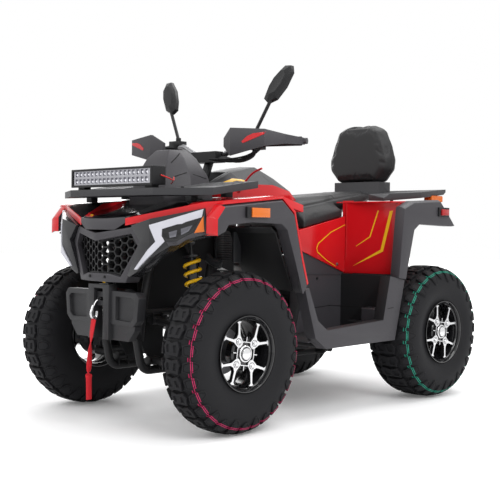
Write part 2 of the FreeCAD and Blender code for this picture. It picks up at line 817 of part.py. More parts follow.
def swingarm_shape():
    axle_at = (wheel_base / 2, hub_z)
    pivot = (swing_pivot_along, swing_pivot_up)
    radius = swing_arm_diameter / 2
    carrier = bar((-carrier_length / 2, *axle_at), (carrier_length / 2, *axle_at),
                  carrier_diameter / 2)
    pieces = [bar((-swing_pivot_across, *pivot), (swing_pivot_across, *pivot), radius)]
    inset = swing_pivot_across - radius
    pieces.append(bar((-inset, *pivot), (-inset, *axle_at), radius))
    pieces.append(bar((inset - radius, *pivot), (inset - radius, *axle_at), swing_shaft_diameter / 2))
    case_start = Vector(final_case_across, *axle_at)
    pieces.append(Part.makeCylinder(final_case_diameter / 2, final_case_length,
                                    case_start, Vector(1, 0, 0)))
    foot = (rear_strut_foot_along, rear_strut_foot_up - strut_eye_diameter / 2)
    rear_bridge = bar((-inset, foot[0], pivot[1]), (inset, foot[0], pivot[1]), radius)
    post = bar((0, foot[0], pivot[1]), (0, foot[0], foot[1] - seat_gap), radius / 2)
    plate = Part.makeBox(hitch_width, hitch_length, hitch_thickness,
                         Vector(-hitch_width / 2, axle_at[0], axle_at[1] - hitch_drop))
    whole = joined([carrier] + pieces + [rear_bridge, post, plate])
    hole_at = Vector(0, axle_at[0] + hitch_length - hitch_width / 2, 0)
    shaft = bar((-carrier_length, *axle_at), (carrier_length, *axle_at),
                axle_diameter / 2 + running_gap)
    hole = Part.makeCylinder(hitch_hole_diameter / 2, 2 * axle_at[1], hole_at)
    return whole.cut(shaft).cut(hole)


keep("swingarm", solid("swingarm", swingarm_shape()))

# Engine: one closed block on the rails, crankcase with the leaning barrel.
engine_width = 250
engine_length = 420
engine_tall = 400
engine_front = 210
engine_shares = [(0, 0), (0.9, 0), (1, 0.25), (0.94, 0.6), (0.62, 0.68), (0.5, 1), (0.16, 0.94), (0.2, 0.66),
                 (0.02, 0.5)]
engine = body("engine")
engine_floor = "(rail_up + rail_diameter / 2 + seat_gap)"
pad_middle(engine, "YZ_Plane",
           [spread(engine_shares, "engine_length", "engine_tall", "-engine_front", engine_floor)],
           "engine_width")
keep("engine", engine)

# Exhaust: header along the right-hand side to a muffler behind the seat frame.
pipe_diameter = 34
header_along = 120
header_up = 500
header_across = 150
pipe_up = 592
muffler_along = 470
muffler_across = 196
muffler_up = 560
muffler_diameter = 112
muffler_length = 300
tip_length = 40
tip_share = 0.8
tip_bore_share = 0.6
pipe_out_along = 330


def exhaust_shape():
    radius = pipe_diameter / 2
    out = -header_across
    start = (-engine_width / 2 - seat_gap, -header_along, header_up)
    pipe = tube([start, (out, -header_along, header_up), (out, 0, pipe_up),
                 (out, pipe_out_along, pipe_up),
                 (-muffler_across, muffler_along - pipe_diameter, muffler_up),
                 (-muffler_across, muffler_along + radius, muffler_up)],
                radius, pipe_diameter)
    can_start = Vector(-muffler_across, muffler_along, muffler_up)
    can = Part.makeCylinder(muffler_diameter / 2, muffler_length, can_start, Vector(0, 1, 0))
    can = can.makeChamfer(radius, [can.Edges[0], can.Edges[2]])
    tip_start = can_start + Vector(0, muffler_length, 0)
    tip = Part.makeCylinder(radius * tip_share, tip_length, tip_start, Vector(0, 1, 0))
    bore = Part.makeCylinder(radius * tip_bore_share, tip_length, tip_start, Vector(0, 1, 0))
    return can.fuse([pipe, tip]).cut(bore).removeSplitter()


keep("exhaust", solid("exhaust", exhaust_shape()))


# Bodywork: each moulding is where its side, plan and front outlines meet.
def prism(name, role, outlines, length, height="0"):
    made = body(name)
    pad(made, role, outlines, length, height)
    return made


def wide_prism(name, role, outlines, length):
    made = body(name)
    pad_middle(made, role, outlines, length)
    return made


def both_ways(points):
    """A half outline and its mirror image, from the centre plane outwards and back."""
    inner = [point for point in points if point[0] != "0"]
    return points + [(f"-({across})", up) for across, up in reversed(inner)]


def common(label, pieces):
    made = doc.addObject("Part::MultiCommon", label)
    made.Label = label
    made.Shapes = pieces
    return made


nose_ahead = 292
body_overrun = 400
panel_wall = 4
surround_half = 212
surround_tall = 204
surround_low = 534
surround_sweep = 60
surround_depth = 64
surround_lean = 16
grille_recess = 22
grille_thickness = 20
cell_pitch = 32
cell_wall = 5
hood_half = 216
hood_front_half = 134
hood_sweep = 36
hood_length = 340
hood_lip_up = 726
hood_lip_tall = 41
hood_lip_lean = 14
hood_rise = 124
hood_sheet = 12
nose = "(wheel_base / 2 + nose_ahead)"
surround_shares = [(0, 0.88), (0.78, 1), (1, 0.745), (0.64, 0), (0, 0)]
cell_field_shares = [(0, 0.715), (0.72, 0.85), (0.84, 0.655), (0.51, 0.13), (0.3, 0.18), (0, 0.18)]
opening_shares = [(0, 0.735), (0.74, 0.875), (0.87, 0.66), (0.53, 0.1), (0.3, 0.155), (0, 0.155)]


def half_outline(shares, wide, tall, low):
    """A half outline from shares, with its centre points kept on the centre plane."""
    points = []
    for across, up in shares:
        points.append(("0" if across == 0 else f"{across} * {wide}", f"{low} + {up} * {tall}"))
    centre = [point for point in points if point[0] == "0"]
    side = [point for point in points if point[0] != "0"]
    return [centre[0]] + side + [centre[-1]] + [(f"-({across})", up) for across, up in reversed(side)]


def swept_plan(tip, half, sweep, depth):
    """A chevron in plan: the tip ahead, both ends swept back."""
    back = f"{sweep} * body_overrun / {half}"
    return [("0", f"-{tip}"), ("body_overrun", f"-{tip} + {back}"), ("body_overrun", f"-{tip} + {back} + {depth}"),
            ("0", f"-{tip} + {depth}"), ("-body_overrun", f"-{tip} + {back} + {depth}"),
            ("-body_overrun", f"-{tip} + {back}")]


surround_outline = half_outline(surround_shares, "surround_half", "surround_tall", "surround_low")
opening_outline = half_outline(opening_shares, "surround_half", "surround_tall", "surround_low")
surround_front = prism("surround_front", "XZ_Plane", [surround_outline, opening_outline], "body_overrun",
                       f"{nose} - body_overrun")
surround_plan = prism("surround_plan", "XY_Plane",
                      [swept_plan(nose, "surround_half", "surround_sweep", "surround_depth")], "body_overrun * 2",
                      "surround_low - body_overrun")
surround_side = wide_prism("surround_side", "YZ_Plane", [[
    (f"-{nose}", "surround_low + surround_tall"), (f"-{nose} + surround_lean", "surround_low"),
    (f"-{nose} + body_overrun", "surround_low"), (f"-{nose} + body_overrun", "surround_low + surround_tall")]],
    "2 * surround_half")
keep("grille_surround", common("grille_surround", [surround_front, surround_plan, surround_side]))

grille_front = prism("grille_front", "XZ_Plane", [half_outline(opening_shares, "(surround_half - seat_gap)",
                     "(surround_tall - 2 * seat_gap)", "(surround_low + seat_gap)")], "body_overrun",
                     f"{nose} - body_overrun")
grille_plan = prism("grille_plan", "XY_Plane", [swept_plan(f"({nose} - grille_recess)", "surround_half",
                    "surround_sweep", "grille_thickness")], "body_overrun * 2", "surround_low - body_overrun")


cell_sides = 6


def honeycomb():
    """Hexagonal cells in staggered columns, each a long prism along the bike."""
    cells = []
    slant = math.cos(math.pi / cell_sides)
    column_step = cell_pitch * slant
    columns = math.ceil(surround_half / column_step)
    rows = math.ceil(surround_tall / cell_pitch)
    reach = (cell_pitch - cell_wall) / (2 * slant)
    for column in range(-columns, columns + 1):
        for row in range(rows + 1):
            up = surround_low + (row + column % 2 / 2) * cell_pitch
            corners = []
            for turn in range(cell_sides + 1):
                angle = math.tau * turn / cell_sides
                corners.append(Vector(column * column_step + reach * math.cos(angle), 0, up + reach * math.sin(angle)))
            hexagon = Part.Face(Part.makePolygon(corners))
            cells.append(hexagon.extrude(Vector(0, -2 * wheel_base, 0)))
    return Part.makeCompound(cells)


cell_field = prism("cell_field", "XZ_Plane", [half_outline(cell_field_shares, "surround_half", "surround_tall",
                   "surround_low")], "body_overrun", f"{nose} - body_overrun")
cells = common("cells", [solid("honeycomb", honeycomb()), cell_field])
keep("grille", less("grille", common("grille_plate", [grille_front, grille_plan]), cells))

hood_side = wide_prism("hood_side", "YZ_Plane", [[
    (f"-{nose}", "hood_lip_up"), (f"-{nose} + hood_lip_lean", "hood_lip_up + hood_lip_tall"),
    (f"-{nose} + hood_length", "hood_lip_up + hood_rise"),
    (f"-{nose} + hood_length", "hood_lip_up + hood_rise - hood_sheet"),
    (f"-{nose} + hood_lip_lean + hood_sheet * 2", "hood_lip_up + hood_lip_tall - hood_sheet"),
    (f"-{nose} + hood_sheet * 2", "hood_lip_up")]], "2 * hood_half")
hood_plan = prism("hood_plan", "XY_Plane", [[
    ("0", f"-{nose}"), ("hood_front_half", f"-{nose} + hood_sweep"), ("hood_half", f"-{nose} + hood_length"),
    ("-hood_half", f"-{nose} + hood_length"), ("-hood_front_half", f"-{nose} + hood_sweep")]],
    "body_overrun", "hood_lip_up - hood_sheet")
hood = common("hood", [hood_side, hood_plan])

# Front wings: a painted deck from the nose to the flare, with the corner post beside the lamp.
deck_out = 474
deck_inner = 224
deck_tip_up = 768
post_inner = 424
post_out = 446
post_low = 710
post_depth = 40
flare_inner = 446
flare_out = 500
flare_bevel = 20
flare_shrink = 10
flare_reach = 340
flare_rise = 560
trim_width = 7
trim_out = 492
flare_outer_shares = [(0.926, 0.362), (0.994, 0.416), (0.9, 0.59), (0.765, 0.9), (0.574, 0.993), (-0.32, 0.94),
                      (-0.43, 0.86), (-0.43, 0.757)]
flare_arch_shares = [(-0.306, 0.773), (-0.26, 0.814), (0.09, 0.834), (0.54, 0.827), (0.63, 0.79), (0.76, 0.59)]
deck_plan = prism("deck_plan", "XY_Plane", [[
    ("hood_front_half + seat_gap * 2", f"-{nose} + hood_sweep"), ("post_inner", f"{front_along} - post_ahead"),
    ("deck_out", f"{front_along} - post_ahead + post_depth"), ("deck_out", f"{front_along} + deck_rear"),
    ("deck_inner", f"{front_along} + deck_rear"), ("hood_half + seat_gap * 2", f"-{nose} + hood_length")]],
    "body_overrun", "deck_tip_up - body_overrun / 2")
deck_fall_share = 0.65
deck_under_share = 0.6
deck_shape_points = [
    (f"-{nose} + hood_sweep", "deck_tip_up"), (f"{front_along} - post_ahead", "deck_corner_up"),
    (f"{front_along} + deck_rear / 2", "deck_high"),
    (f"{front_along} + deck_rear * deck_fall_share", "deck_high"),
    (f"{front_along} + deck_rear", "deck_corner_up"), (f"{front_along} + deck_rear", "deck_corner_up - deck_sheet"),
    (f"{front_along} + deck_rear * deck_under_share", "deck_high - deck_sheet"),
    (f"{front_along} + deck_rear / 2", "deck_high - deck_sheet"),
    (f"{front_along} - post_ahead", "deck_corner_up - deck_sheet"),
    (f"-{nose} + hood_sweep", "deck_tip_up - deck_sheet")]
deck_side = prism("deck_side", "YZ_Plane", [deck_shape_points], "body_overrun * 2")
deck = common("deck", [deck_plan, deck_side])
post = prism("post", "XY_Plane", [[
    ("post_inner", f"{front_along} - post_ahead"),
    ("post_out - seat_gap", f"{front_along} - post_ahead + post_depth / 2"),
    ("post_out - seat_gap", f"{front_along} - post_ahead + post_depth"),
    ("post_inner", f"{front_along} - post_ahead + post_depth")]],
    "deck_corner_up - deck_sheet / 2 - post_low", "post_low")


def flare_points(shares, inset="0"):
    return spread(shares, f"(flare_reach - {inset})", f"(flare_rise - {inset})", front_along, axle_up)


def trim_points():
    """A thin band that follows the flare's top and rear edge."""
    run = flare_outer_shares[1:6]
    inner = spread(run, "flare_reach", "flare_rise", f"{front_along} + seat_gap", f"{axle_up} + seat_gap")
    outer = spread(run, "flare_reach", "flare_rise", f"{front_along} + trim_width", f"{axle_up} + trim_width")
    return inner + outer[::-1]


flare = body("flare")
flare_whole = flare_points(flare_outer_shares + flare_arch_shares)
loft(flare, "YZ_Plane", [
    ("flare_inner", flare_whole), ("flare_out - flare_bevel", flare_whole),
    ("flare_out", flare_points(flare_outer_shares, "flare_shrink") + flare_points(flare_arch_shares))])
keep("flares_front", both_sides("flares_front", flare))
trim = prism("trim", "YZ_Plane", [trim_points()], "trim_out - deck_out + deck_sheet", "deck_out - deck_sheet")
front_fender = less("front_fender", fused("fender_whole", [deck, post, trim]), flare)
keep("front_fenders", both_sides("front_fenders", front_fender))


# Lamps: wrap-round headlamps seated between the grille surround and the wing, amber side markers.
lamp_half = 436
lamp_tall = 272
lamp_depth = 62
lamp_in = 140
lamp_knee = 266
lamp_in_ahead = 257
lamp_knee_ahead = 251
lamp_out_ahead = 126
marker_length = 92
marker_tall = 34
marker_proud = 14
marker_along = 60
marker_up = 794
lamp_shares = [(0.38, 0.765), (0.972, 1), (0.993, 0.662), (0.782, 0.544), (0.459, 0.151), (0.367, 0.081),
               (0.34, 0.1), (0.489, 0.559)]
lamp_front = prism("lamp_front", "XZ_Plane", [spread(lamp_shares, "lamp_half", "lamp_tall", "0", "surround_low")],
                   "body_overrun", f"{nose} - body_overrun")
lamp_plan = prism("lamp_plan", "XY_Plane", [[
    ("lamp_in", f"{front_along} - lamp_in_ahead"), ("lamp_knee", f"{front_along} - lamp_knee_ahead"),
    ("lamp_half", f"{front_along} - lamp_out_ahead"), ("lamp_half", f"{front_along} - lamp_out_ahead + lamp_depth"),
    ("lamp_knee", f"{front_along} - lamp_knee_ahead + lamp_depth"),
    ("lamp_in", f"{front_along} - lamp_in_ahead + lamp_depth")]],
    "body_overrun * 2", "surround_low - body_overrun")
lamp = common("lamp", [lamp_front, lamp_plan])
lamp_room = fused("lamp_room", [surround_front, front_fender, hood])
keep("headlamps", both_sides("headlamps", less("headlamp", lamp, lamp_room)))
amber = block("amber", "marker_proud", "marker_length", "marker_tall", "flare_out + marker_proud / 2 + seat_gap",
              f"{front_along} + marker_along", "marker_up")
keep("markers_amber", both_sides("markers_amber", amber))

# Light bar on two feet and the front rack that carries it.
rack_front_half = 447
rack_nose_half = 250
rack_nose_ahead = 224
rack_side_ahead = 114
rack_rear_back = 110
rack_bay_half = 176
rack_bay_ahead = 34
rack_low = 852
rack_climb = 33
rack_sheet = 26
rack_foot_across = 300
rack_foot_wide = 32
rack_foot_ahead = 84
rack_foot_behind = 93
bar_half = 244
bar_tall = 67
bar_depth = 62
bar_ahead = 222
bar_up = 890
bar_foot_across = 204
bar_foot_length = 40
cup_columns = 18
cup_depth = 7
cup_field_share = 0.92
cup_side_share = 0.74
cup_row_shares = (0.3, 0.7)
rack_plan_outline = [
    ("rack_nose_half", f"{front_along} - rack_nose_ahead"), ("rack_front_half", f"{front_along} - rack_side_ahead"),
    ("rack_front_half", f"{front_along} + rack_rear_back"), ("rack_bay_half", f"{front_along} + rack_rear_back"),
    ("rack_bay_half", f"{front_along} - rack_bay_ahead - rack_bay_half / 4"),
]


def rack_slots():
    """Lashing slots in both side arms and across the nose."""
    slots = []
    near, far = "(rack_bay_half + slot_width * 1.5)", "(rack_front_half - slot_width * 1.5)"
    for step in range(3):
        start = f"{front_along} - rack_bay_ahead + {step} * slot_width * 2"
        slots.append([(near, start), (far, start), (far, f"{start} + slot_width"), (near, f"{start} + slot_width")])
    return slots


full_plan = rack_plan_outline + [(f"-({across})", along) for across, along in reversed(rack_plan_outline)]
slot_left = rack_slots()
slot_right = [[(f"-({across})", along) for across, along in ring] for ring in slot_left]
rack_plan = prism("rack_plan", "XY_Plane", [full_plan] + slot_left + slot_right, "body_overrun",
                  "rack_low - body_overrun / 2")
rack_side = wide_prism("rack_side", "YZ_Plane", [[
    (f"{front_along} - rack_nose_ahead", "rack_low"), (f"{front_along} - rack_side_ahead", "rack_low"),
    (f"{front_along} + rack_rear_back", "rack_low + rack_climb"),
    (f"{front_along} + rack_rear_back", "rack_low + rack_climb + rack_sheet"),
    (f"{front_along} - rack_side_ahead", "rack_low + rack_sheet"),
    (f"{front_along} - rack_nose_ahead", "rack_low + rack_sheet")]], "2 * rack_front_half")


def rack_foot(name, along, way):
    """A post from the wing's deck up into the rack."""
    slope = "(deck_high - deck_corner_up) / (post_ahead + deck_rear / 2)"
    foot_up = f"(deck_corner_up + seat_gap + ({along} + post_ahead + rack_foot_wide / 2) * {slope})"
    climb = f"({along} + rack_side_ahead) * rack_climb / (rack_side_ahead + rack_rear_back)"
    post_top = f"(rack_low + rack_sheet / 2 + {climb})"
    return block(name, "rack_foot_wide", "rack_foot_wide", f"{post_top} - {foot_up}", f"{way} * rack_foot_across",
                 f"{front_along} + {along}", f"({post_top} + {foot_up}) / 2")


rack_feet = [rack_foot("rack_foot", along, way)
             for along in ("-rack_foot_ahead", "rack_foot_behind") for way in (-1, 1)]
keep("front_rack", fused("front_rack", [common("rack_top", [rack_plan, rack_side])] + rack_feet))

bar_box = block("bar_box", "2 * bar_half", "bar_depth", "bar_tall", "0",
                f"{front_along} - bar_ahead + bar_depth / 2", "bar_up + bar_tall / 2")
feet = [block("bar_foot", "bar_foot_length", "bar_depth / 2", "bar_up - rack_low - rack_sheet - seat_gap",
              f"{way} * bar_foot_across", f"{front_along} - bar_ahead + bar_depth / 2",
              "(bar_up + rack_low + rack_sheet + seat_gap) / 2") for way in (-1, 1)]


def led_cups():
    """Two rows of square cups sunk into the front of the light bar."""
    pitch = 2 * bar_half * cup_field_share / cup_columns
    side = pitch * cup_side_share
    front = -wheel_base / 2 - bar_ahead
    cups = []
    for column in range(cup_columns):
        across = (column + 0.5 - cup_columns / 2) * pitch - side / 2
        for row_share in cup_row_shares:
            corner = Vector(across, front - cup_depth, bar_up + bar_tall * row_share - side / 2)
            cups.append(Part.makeBox(side, 2 * cup_depth, side, corner))
    return Part.makeCompound(cups)


lit_box = less("lit_box", bar_box, solid("led_cups", led_cups()))
keep("light_bar", fused("light_bar", [lit_box] + feet))

# Instrument cowl ahead of the bars.
pod_half = 165
pod_long = 200
pod_foot_up = 815
pod_low_up = 852
pod_tall = 188
pod_back_gap = 150
pod_foot_shares = [(0.62, -1), (1, -0.55), (1, 0), (0.7, 0.12), (-0.7, 0.12), (-1, 0), (-1, -0.55), (-0.62, -1)]


def pod_ring(scale, shift):
    return spread([(a * scale, b * scale + shift) for a, b in pod_foot_shares], "pod_half", "pod_long",
                  "0", f"{front_along} + pod_back_gap")


# How high each ring is, how large, and how far it moves back.
pod_level_shares = [(0, 1, 0), (0.45, 0.86, -0.03), (0.82, 0.6, -0.14), (1, 0.38, -0.22)]
pod = body("pod")
pod_rings = [(f"pod_low_up + {up} * pod_tall", pod_ring(size, shift)) for up, size, shift in pod_level_shares]
loft(pod, "XY_Plane", [("pod_foot_up", pod_ring(1, 0))] + pod_rings)
keep("instrument_cowl", pod)
keep("nose_cowl", less("nose_cowl", hood, pod))

# Tank cover: a dark centre spine between two painted sides.
tank_rear = 28
tank_half = 190
tank_low = 858
spine_half = 84
stem_bay_half = 62
stem_bay_back = 300
tank_front = 436.7
tank_top = 140
tank_peak_along = 150


def tank_ring(low_half, rim_up, shoulder_half, shoulder_up, crown_up):
    half = [("0", f"tank_low + {crown_up} * tank_top"),
            (f"{shoulder_half} * tank_half", f"tank_low + {shoulder_up} * tank_top"),
            (f"{low_half} * tank_half", f"tank_low + {rim_up} * tank_top"), (f"{low_half} * tank_half", "tank_low")]
    return half + [(f"-{across}", up) for across, up in reversed(half[1:])]


tank_section_shares = [("tank_front", 0.98, 0.2, 0.45, 0.3, 0.32), ("stem_bay_back", 0.98, 0.4, 0.5, 0.76, 0.79),
                 ("tank_peak_along", 1, 0.42, 0.44, 0.97, 1), ("tank_peak_along / 4", 0.96, 0.26, 0.46, 0.66, 0.7),
                 ("-tank_rear", 0.84, 0.02, 0.5, 0.06, 0.07)]
tank_whole = body("tank_whole")
loft(tank_whole, "XZ_Plane", [(ahead, tank_ring(*shares)) for ahead, *shares in tank_section_shares])
bay = block("stem_bay", "2 * stem_bay_half", "body_overrun", "body_overrun * 2", "0",
            "-stem_bay_back - body_overrun / 2", "tank_low")
spine_slab = block("spine_slab", "2 * spine_half", "body_overrun * 2", "body_overrun * 2", "0", "0", "tank_low")
spine_gap = block("spine_gap", "2 * (spine_half + seat_gap)", "body_overrun * 3", "body_overrun * 3", "0", "0",
                  "tank_low")
tank_open = less("tank_open", tank_whole, bay)
keep("tank_cover", common("tank_cover", [tank_open, spine_slab]))
tank_sides = less("tank_sides", tank_open, spine_gap)

# Seat and backrest: two soft solids, and the backrest's foot on the rack.
seat_front = 28.3
seat_rear = 608
seat_half = 150
seat_low_front = 735
seat_low_rear = 872
seat_top_front = 868
seat_top_mid = 890
seat_top_rear = 908
seat_ring_shares = [(-0.8, 0), (-1, 0.2), (-0.97, 0.7), (-0.72, 0.95), (0, 1), (0.72, 0.95), (0.97, 0.7), (1, 0.2),
                    (0.8, 0)]
seat_tail_share = 0.8
seat_shoulder_share = 0.92
seat_nose_share = 0.84


def seat_ring(low, top, half):
    """The seat cut across at one place: its half width and its height share one rounded outline."""
    return [(f"{across} * {half}", f"{low} + {up} * ({top} - {low})") for across, up in seat_ring_shares]


seat = body("seat")
loft(seat, "XZ_Plane", [
    ("-seat_rear", seat_ring("(seat_low_rear + panel_wall)", "seat_top_rear", "(seat_half * seat_tail_share)")),
    ("-seat_rear + seat_half / 2",
     seat_ring("(seat_low_rear - panel_wall)", "(seat_top_rear + panel_wall)", "seat_half")),
    ("-(seat_front + seat_rear) / 2",
     seat_ring("((seat_low_front + seat_low_rear) / 2)", "seat_top_mid", "seat_half")),
    ("-seat_front - seat_half / 3",
     seat_ring("seat_low_front", "(seat_top_front + panel_wall)", "(seat_half * seat_shoulder_share)")),
    ("-seat_front",
     seat_ring("(seat_low_front + 2 * panel_wall)", "seat_top_front", "(seat_half * seat_nose_share)"))])

# Painted side covers under the seat, with the tank's sides, all one colour and material.
cover_out = 206
cover_in = 176
cover_front = 12
cover_top_front = 733
cover_top_rear = 862
cover_low_front = 648
cover_low_rear = 552
cover_length = 293.7
cover = body("cover")
cover_outline = [
    ("0", "cover_top_front"), ("cover_front", "cover_low_front"), ("cover_length", "cover_low_rear"),
    ("cover_front + cover_length", "cover_low_rear"),
    ("cover_front + cover_length", "cover_top_front + (cover_top_rear - cover_top_front) / 2")]
pad(cover, "YZ_Plane", [cover_outline], "cover_out - cover_in", "cover_in")
hollow(cover, "panel_wall", (-1, 0, 0))
keep("side_covers", gathered("side_covers", [cover, other_side(cover, "cover_right"), tank_sides]))

# The seat's side flaps reach out to the top edge of each side cover.
flap_top_front = 842
flap_top_rear = 866
flap_roll = 26
flap_inner_share = 0.8
flap_top_share = 0.9
flap_front = 34
flap_slope = "((cover_top_rear - cover_top_front) / 2 / (cover_front + cover_length))"


def flap_section(along, top):
    """The flap's outline across the bike, seen from the front."""
    foot = f"(cover_top_front + seat_gap + {along} * {flap_slope})"
    out = "cover_out - panel_wall"
    inner, edge = "seat_half * flap_inner_share", "seat_half * flap_top_share"
    return (f"-({along})", [(inner, foot), (out, foot), (out, f"{foot} + flap_roll"), (edge, top), (inner, top)])


flap = body("seat_flap")
loft(flap, "XZ_Plane", [flap_section("cover_length", "flap_top_rear"), flap_section("flap_front", "flap_top_front")])
keep("seat", fused("seat", [seat, flap, other_side(flap, "seat_flap_right")]))

# Rear wings: painted front face and deck, grey flare, lamps.
wing_out = 452
wing_face_along = 306
wing_face_sweep = 64
wing_low = 548
wing_deck_up = 862
wing_deck_rise = 10
wing_rear = 716
wing_sheet = 6
rear_flare_out = 500
rear_flare_along = 306
rear_flare_length = 427
rear_flare_up = 530
rear_flare_tall = 346
tail_lamp_tall = 40
tail_lamp_wide = 110
tail_lamp_depth = 22
rear_outer_shares = [(0.12, 0), (0, 0.02), (0.08, 0.89), (0.25, 0.97), (0.73, 1), (0.9, 0.81), (1, 0.69)]
rear_arch_shares = [(0.925, 0.662), (0.34, 0.682), (0.25, 0.607), (0.145, 0.136)]
wing_face = prism("wing_face", "XY_Plane", [[
    ("cover_out + seat_gap", "wing_face_along"), ("wing_out", "wing_face_along + wing_face_sweep"),
    ("wing_out", "wing_face_along + wing_face_sweep + wing_sheet"),
    ("cover_out + seat_gap", "wing_face_along + wing_sheet")]], "wing_deck_up - wing_low", "wing_low")
wing_deck = prism("wing_deck", "YZ_Plane", [[
    ("wing_face_along", "wing_deck_up - wing_sheet"), ("wing_face_along", "wing_deck_up"),
    ("wing_rear - wing_face_sweep", "wing_deck_up + wing_deck_rise"),
    ("wing_rear", "wing_deck_up - wing_deck_rise * 6"),
    ("wing_rear - wing_sheet", "wing_deck_up - wing_deck_rise * 6"),
    ("wing_rear - wing_face_sweep - wing_sheet / 2", "wing_deck_up + wing_deck_rise - wing_sheet")]],
    "wing_out - seat_half - panel_wall", "seat_half + panel_wall")
wing_inner = prism("wing_inner", "YZ_Plane", [[
    ("wing_face_along", "wing_low + wing_face_sweep"), ("wing_face_along", "wing_deck_up - wing_sheet / 2"),
    ("wing_rear - wing_face_sweep", "wing_deck_up + wing_deck_rise - wing_sheet / 2"),
    ("wing_rear - wing_face_sweep", "wing_deck_up - wing_face_sweep"),
    ("wing_rear - wing_face_sweep * 2", "wing_low + wing_face_sweep * 2")]], "wing_sheet", "cover_out + seat_gap")
keep("rear_fenders", both_sides("rear_fenders", fused("rear_fender", [wing_face, wing_deck, wing_inner])))

rear_flare = body("rear_flare")


def rear_points(shares, inset="0"):
    return spread(shares, f"(rear_flare_length - {inset})", f"(rear_flare_tall - {inset})", "rear_flare_along",
                  "rear_flare_up")


rear_whole = rear_points(rear_outer_shares + rear_arch_shares)
loft(rear_flare, "YZ_Plane", [
    ("wing_out + seat_gap", rear_whole), ("rear_flare_out - flare_bevel", rear_whole),
    ("rear_flare_out", rear_points(rear_outer_shares, "flare_shrink") + rear_points(rear_arch_shares))])
keep("flares_rear", both_sides("flares_rear", rear_flare))

side_red_long_share = 0.6
side_red_tall_share = 0.8
side_red_back_share = 0.76
side_red_up_share = 0.84
side_red = block("side_red", "marker_proud", "marker_length * side_red_long_share",
                 "marker_tall * side_red_tall_share",
                 "rear_flare_out + marker_proud / 2 + seat_gap",
                 "rear_flare_along + rear_flare_length * side_red_back_share",
                 "rear_flare_up + rear_flare_tall * side_red_up_share")
tail_red = block("tail_red", "tail_lamp_wide", "tail_lamp_depth", "tail_lamp_tall",
                 "seat_half + panel_wall + tail_lamp_wide", "wing_rear + tail_lamp_depth / 2 + seat_gap",
                 "wing_deck_up - tail_lamp_tall")
keep("lamps_red", gathered("lamps_red", [side_red, tail_red, other_side(side_red, "side_red_right"),
                                          other_side(tail_red, "tail_red_right")]))

# Footwells: a deep outer lip, a floor, the inner wall and the rear wall.
well_lip_in = 442
well_lip_out = 492
well_front = 283
well_front_up = 505
well_length = 640
well_tall = 258
well_low = 272
well_wall = 5
well_in = 196
well_rear_wall = 292
well_wall_front = 262
well_wall_top = 546
well_front_top = 612
foot_peg_depth = 62
foot_peg_tall = 44
foot_peg_long = 150
lip_shares = [(0, 0.9), (0.1, 0.175), (0.2, 0), (0.9, 0.015), (1, 0.99), (0.84, 1.06), (0.772, 0.357), (0.21, 0.28),
              (0.12, 0.44), (0.035, 0.93)]
lip = prism("lip", "YZ_Plane", [spread(lip_shares, "well_length", "well_tall", "-well_front", "well_low")],
            "well_lip_out - well_lip_in", "well_lip_in")
wall_turn_share = 0.66
wall_end_share = 0.25
wall_top_share = 0.8
wall_foot_share = 0.11
wall_path = [("well_lip_in + well_wall", "-well_wall_front"),
             ("well_in + (well_lip_in - well_in) / 2", "-well_wall_front * wall_turn_share"),
             ("well_in + well_in / 8", "-well_wall_front * wall_end_share"), ("well_in", "well_front / 8"),
             ("well_in", "well_rear_wall + well_wall")]
wall_back = [(f"{across} - well_wall", along) for across, along in wall_path[::-1]]
wall_plan = prism("wall_plan", "XY_Plane", [wall_path + wall_back], "well_front_top - floor_up + floor_thickness",
                  "floor_up - floor_thickness")
floor_corner = ("well_lip_in + well_wall", "well_rear_wall + well_wall")
floor_plate = prism("floor_plate", "XY_Plane", [wall_path + [floor_corner]],
                    "floor_thickness", "floor_up - floor_thickness")
wall_side = prism("wall_side", "YZ_Plane", [[
    ("-well_front + wall_foot_share * well_length", "floor_up - floor_thickness"),
    ("well_rear_wall + well_wall", "floor_up - floor_thickness"),
    ("well_rear_wall + well_wall", "well_wall_top"), ("well_front / 8", "well_front_top"),
    ("-well_wall_front * wall_top_share", "well_front_top"), ("-well_front", "well_front_up")]],
    "body_overrun + well_in", "0")
well_body = common("well_body", [fused("well_whole", [wall_plan, floor_plate]), wall_side])
rear_wall = block("rear_wall", "well_lip_in - well_in", "well_wall", "well_wall_top - floor_up + floor_thickness",
                  "(well_lip_in + well_in) / 2", "well_rear_wall + well_wall / 2",
                  "(well_wall_top + floor_up - floor_thickness) / 2")
peg = block("peg", "foot_peg_long", "foot_peg_depth", "foot_peg_tall", "well_in + foot_peg_long",
            "well_rear_wall - foot_peg_depth / 2", "floor_up + foot_peg_tall / 2")
keep("footwells", both_sides("footwells", fused("footwell", [lip, well_body, rear_wall, peg])))

# Black inner arches behind the front wheels.
arch_in = 204
arch_sheet = 5
arch_run = [(0.2, 0.8), (0.53, 0.8), (0.61, 0.765), (0.74, 0.575), (0.9, 0.372)]
arch_points = spread(arch_run, "flare_reach", "flare_rise", front_along, axle_up)
arch_back = spread(arch_run[::-1], "flare_reach", "flare_rise", f"{front_along} + arch_sheet", f"{axle_up} + arch_sheet")
arch = prism("arch", "YZ_Plane", [arch_points + arch_back], "flare_inner - seat_gap - arch_in", "arch_in")
keep("inner_arches", both_sides("inner_arches", arch))

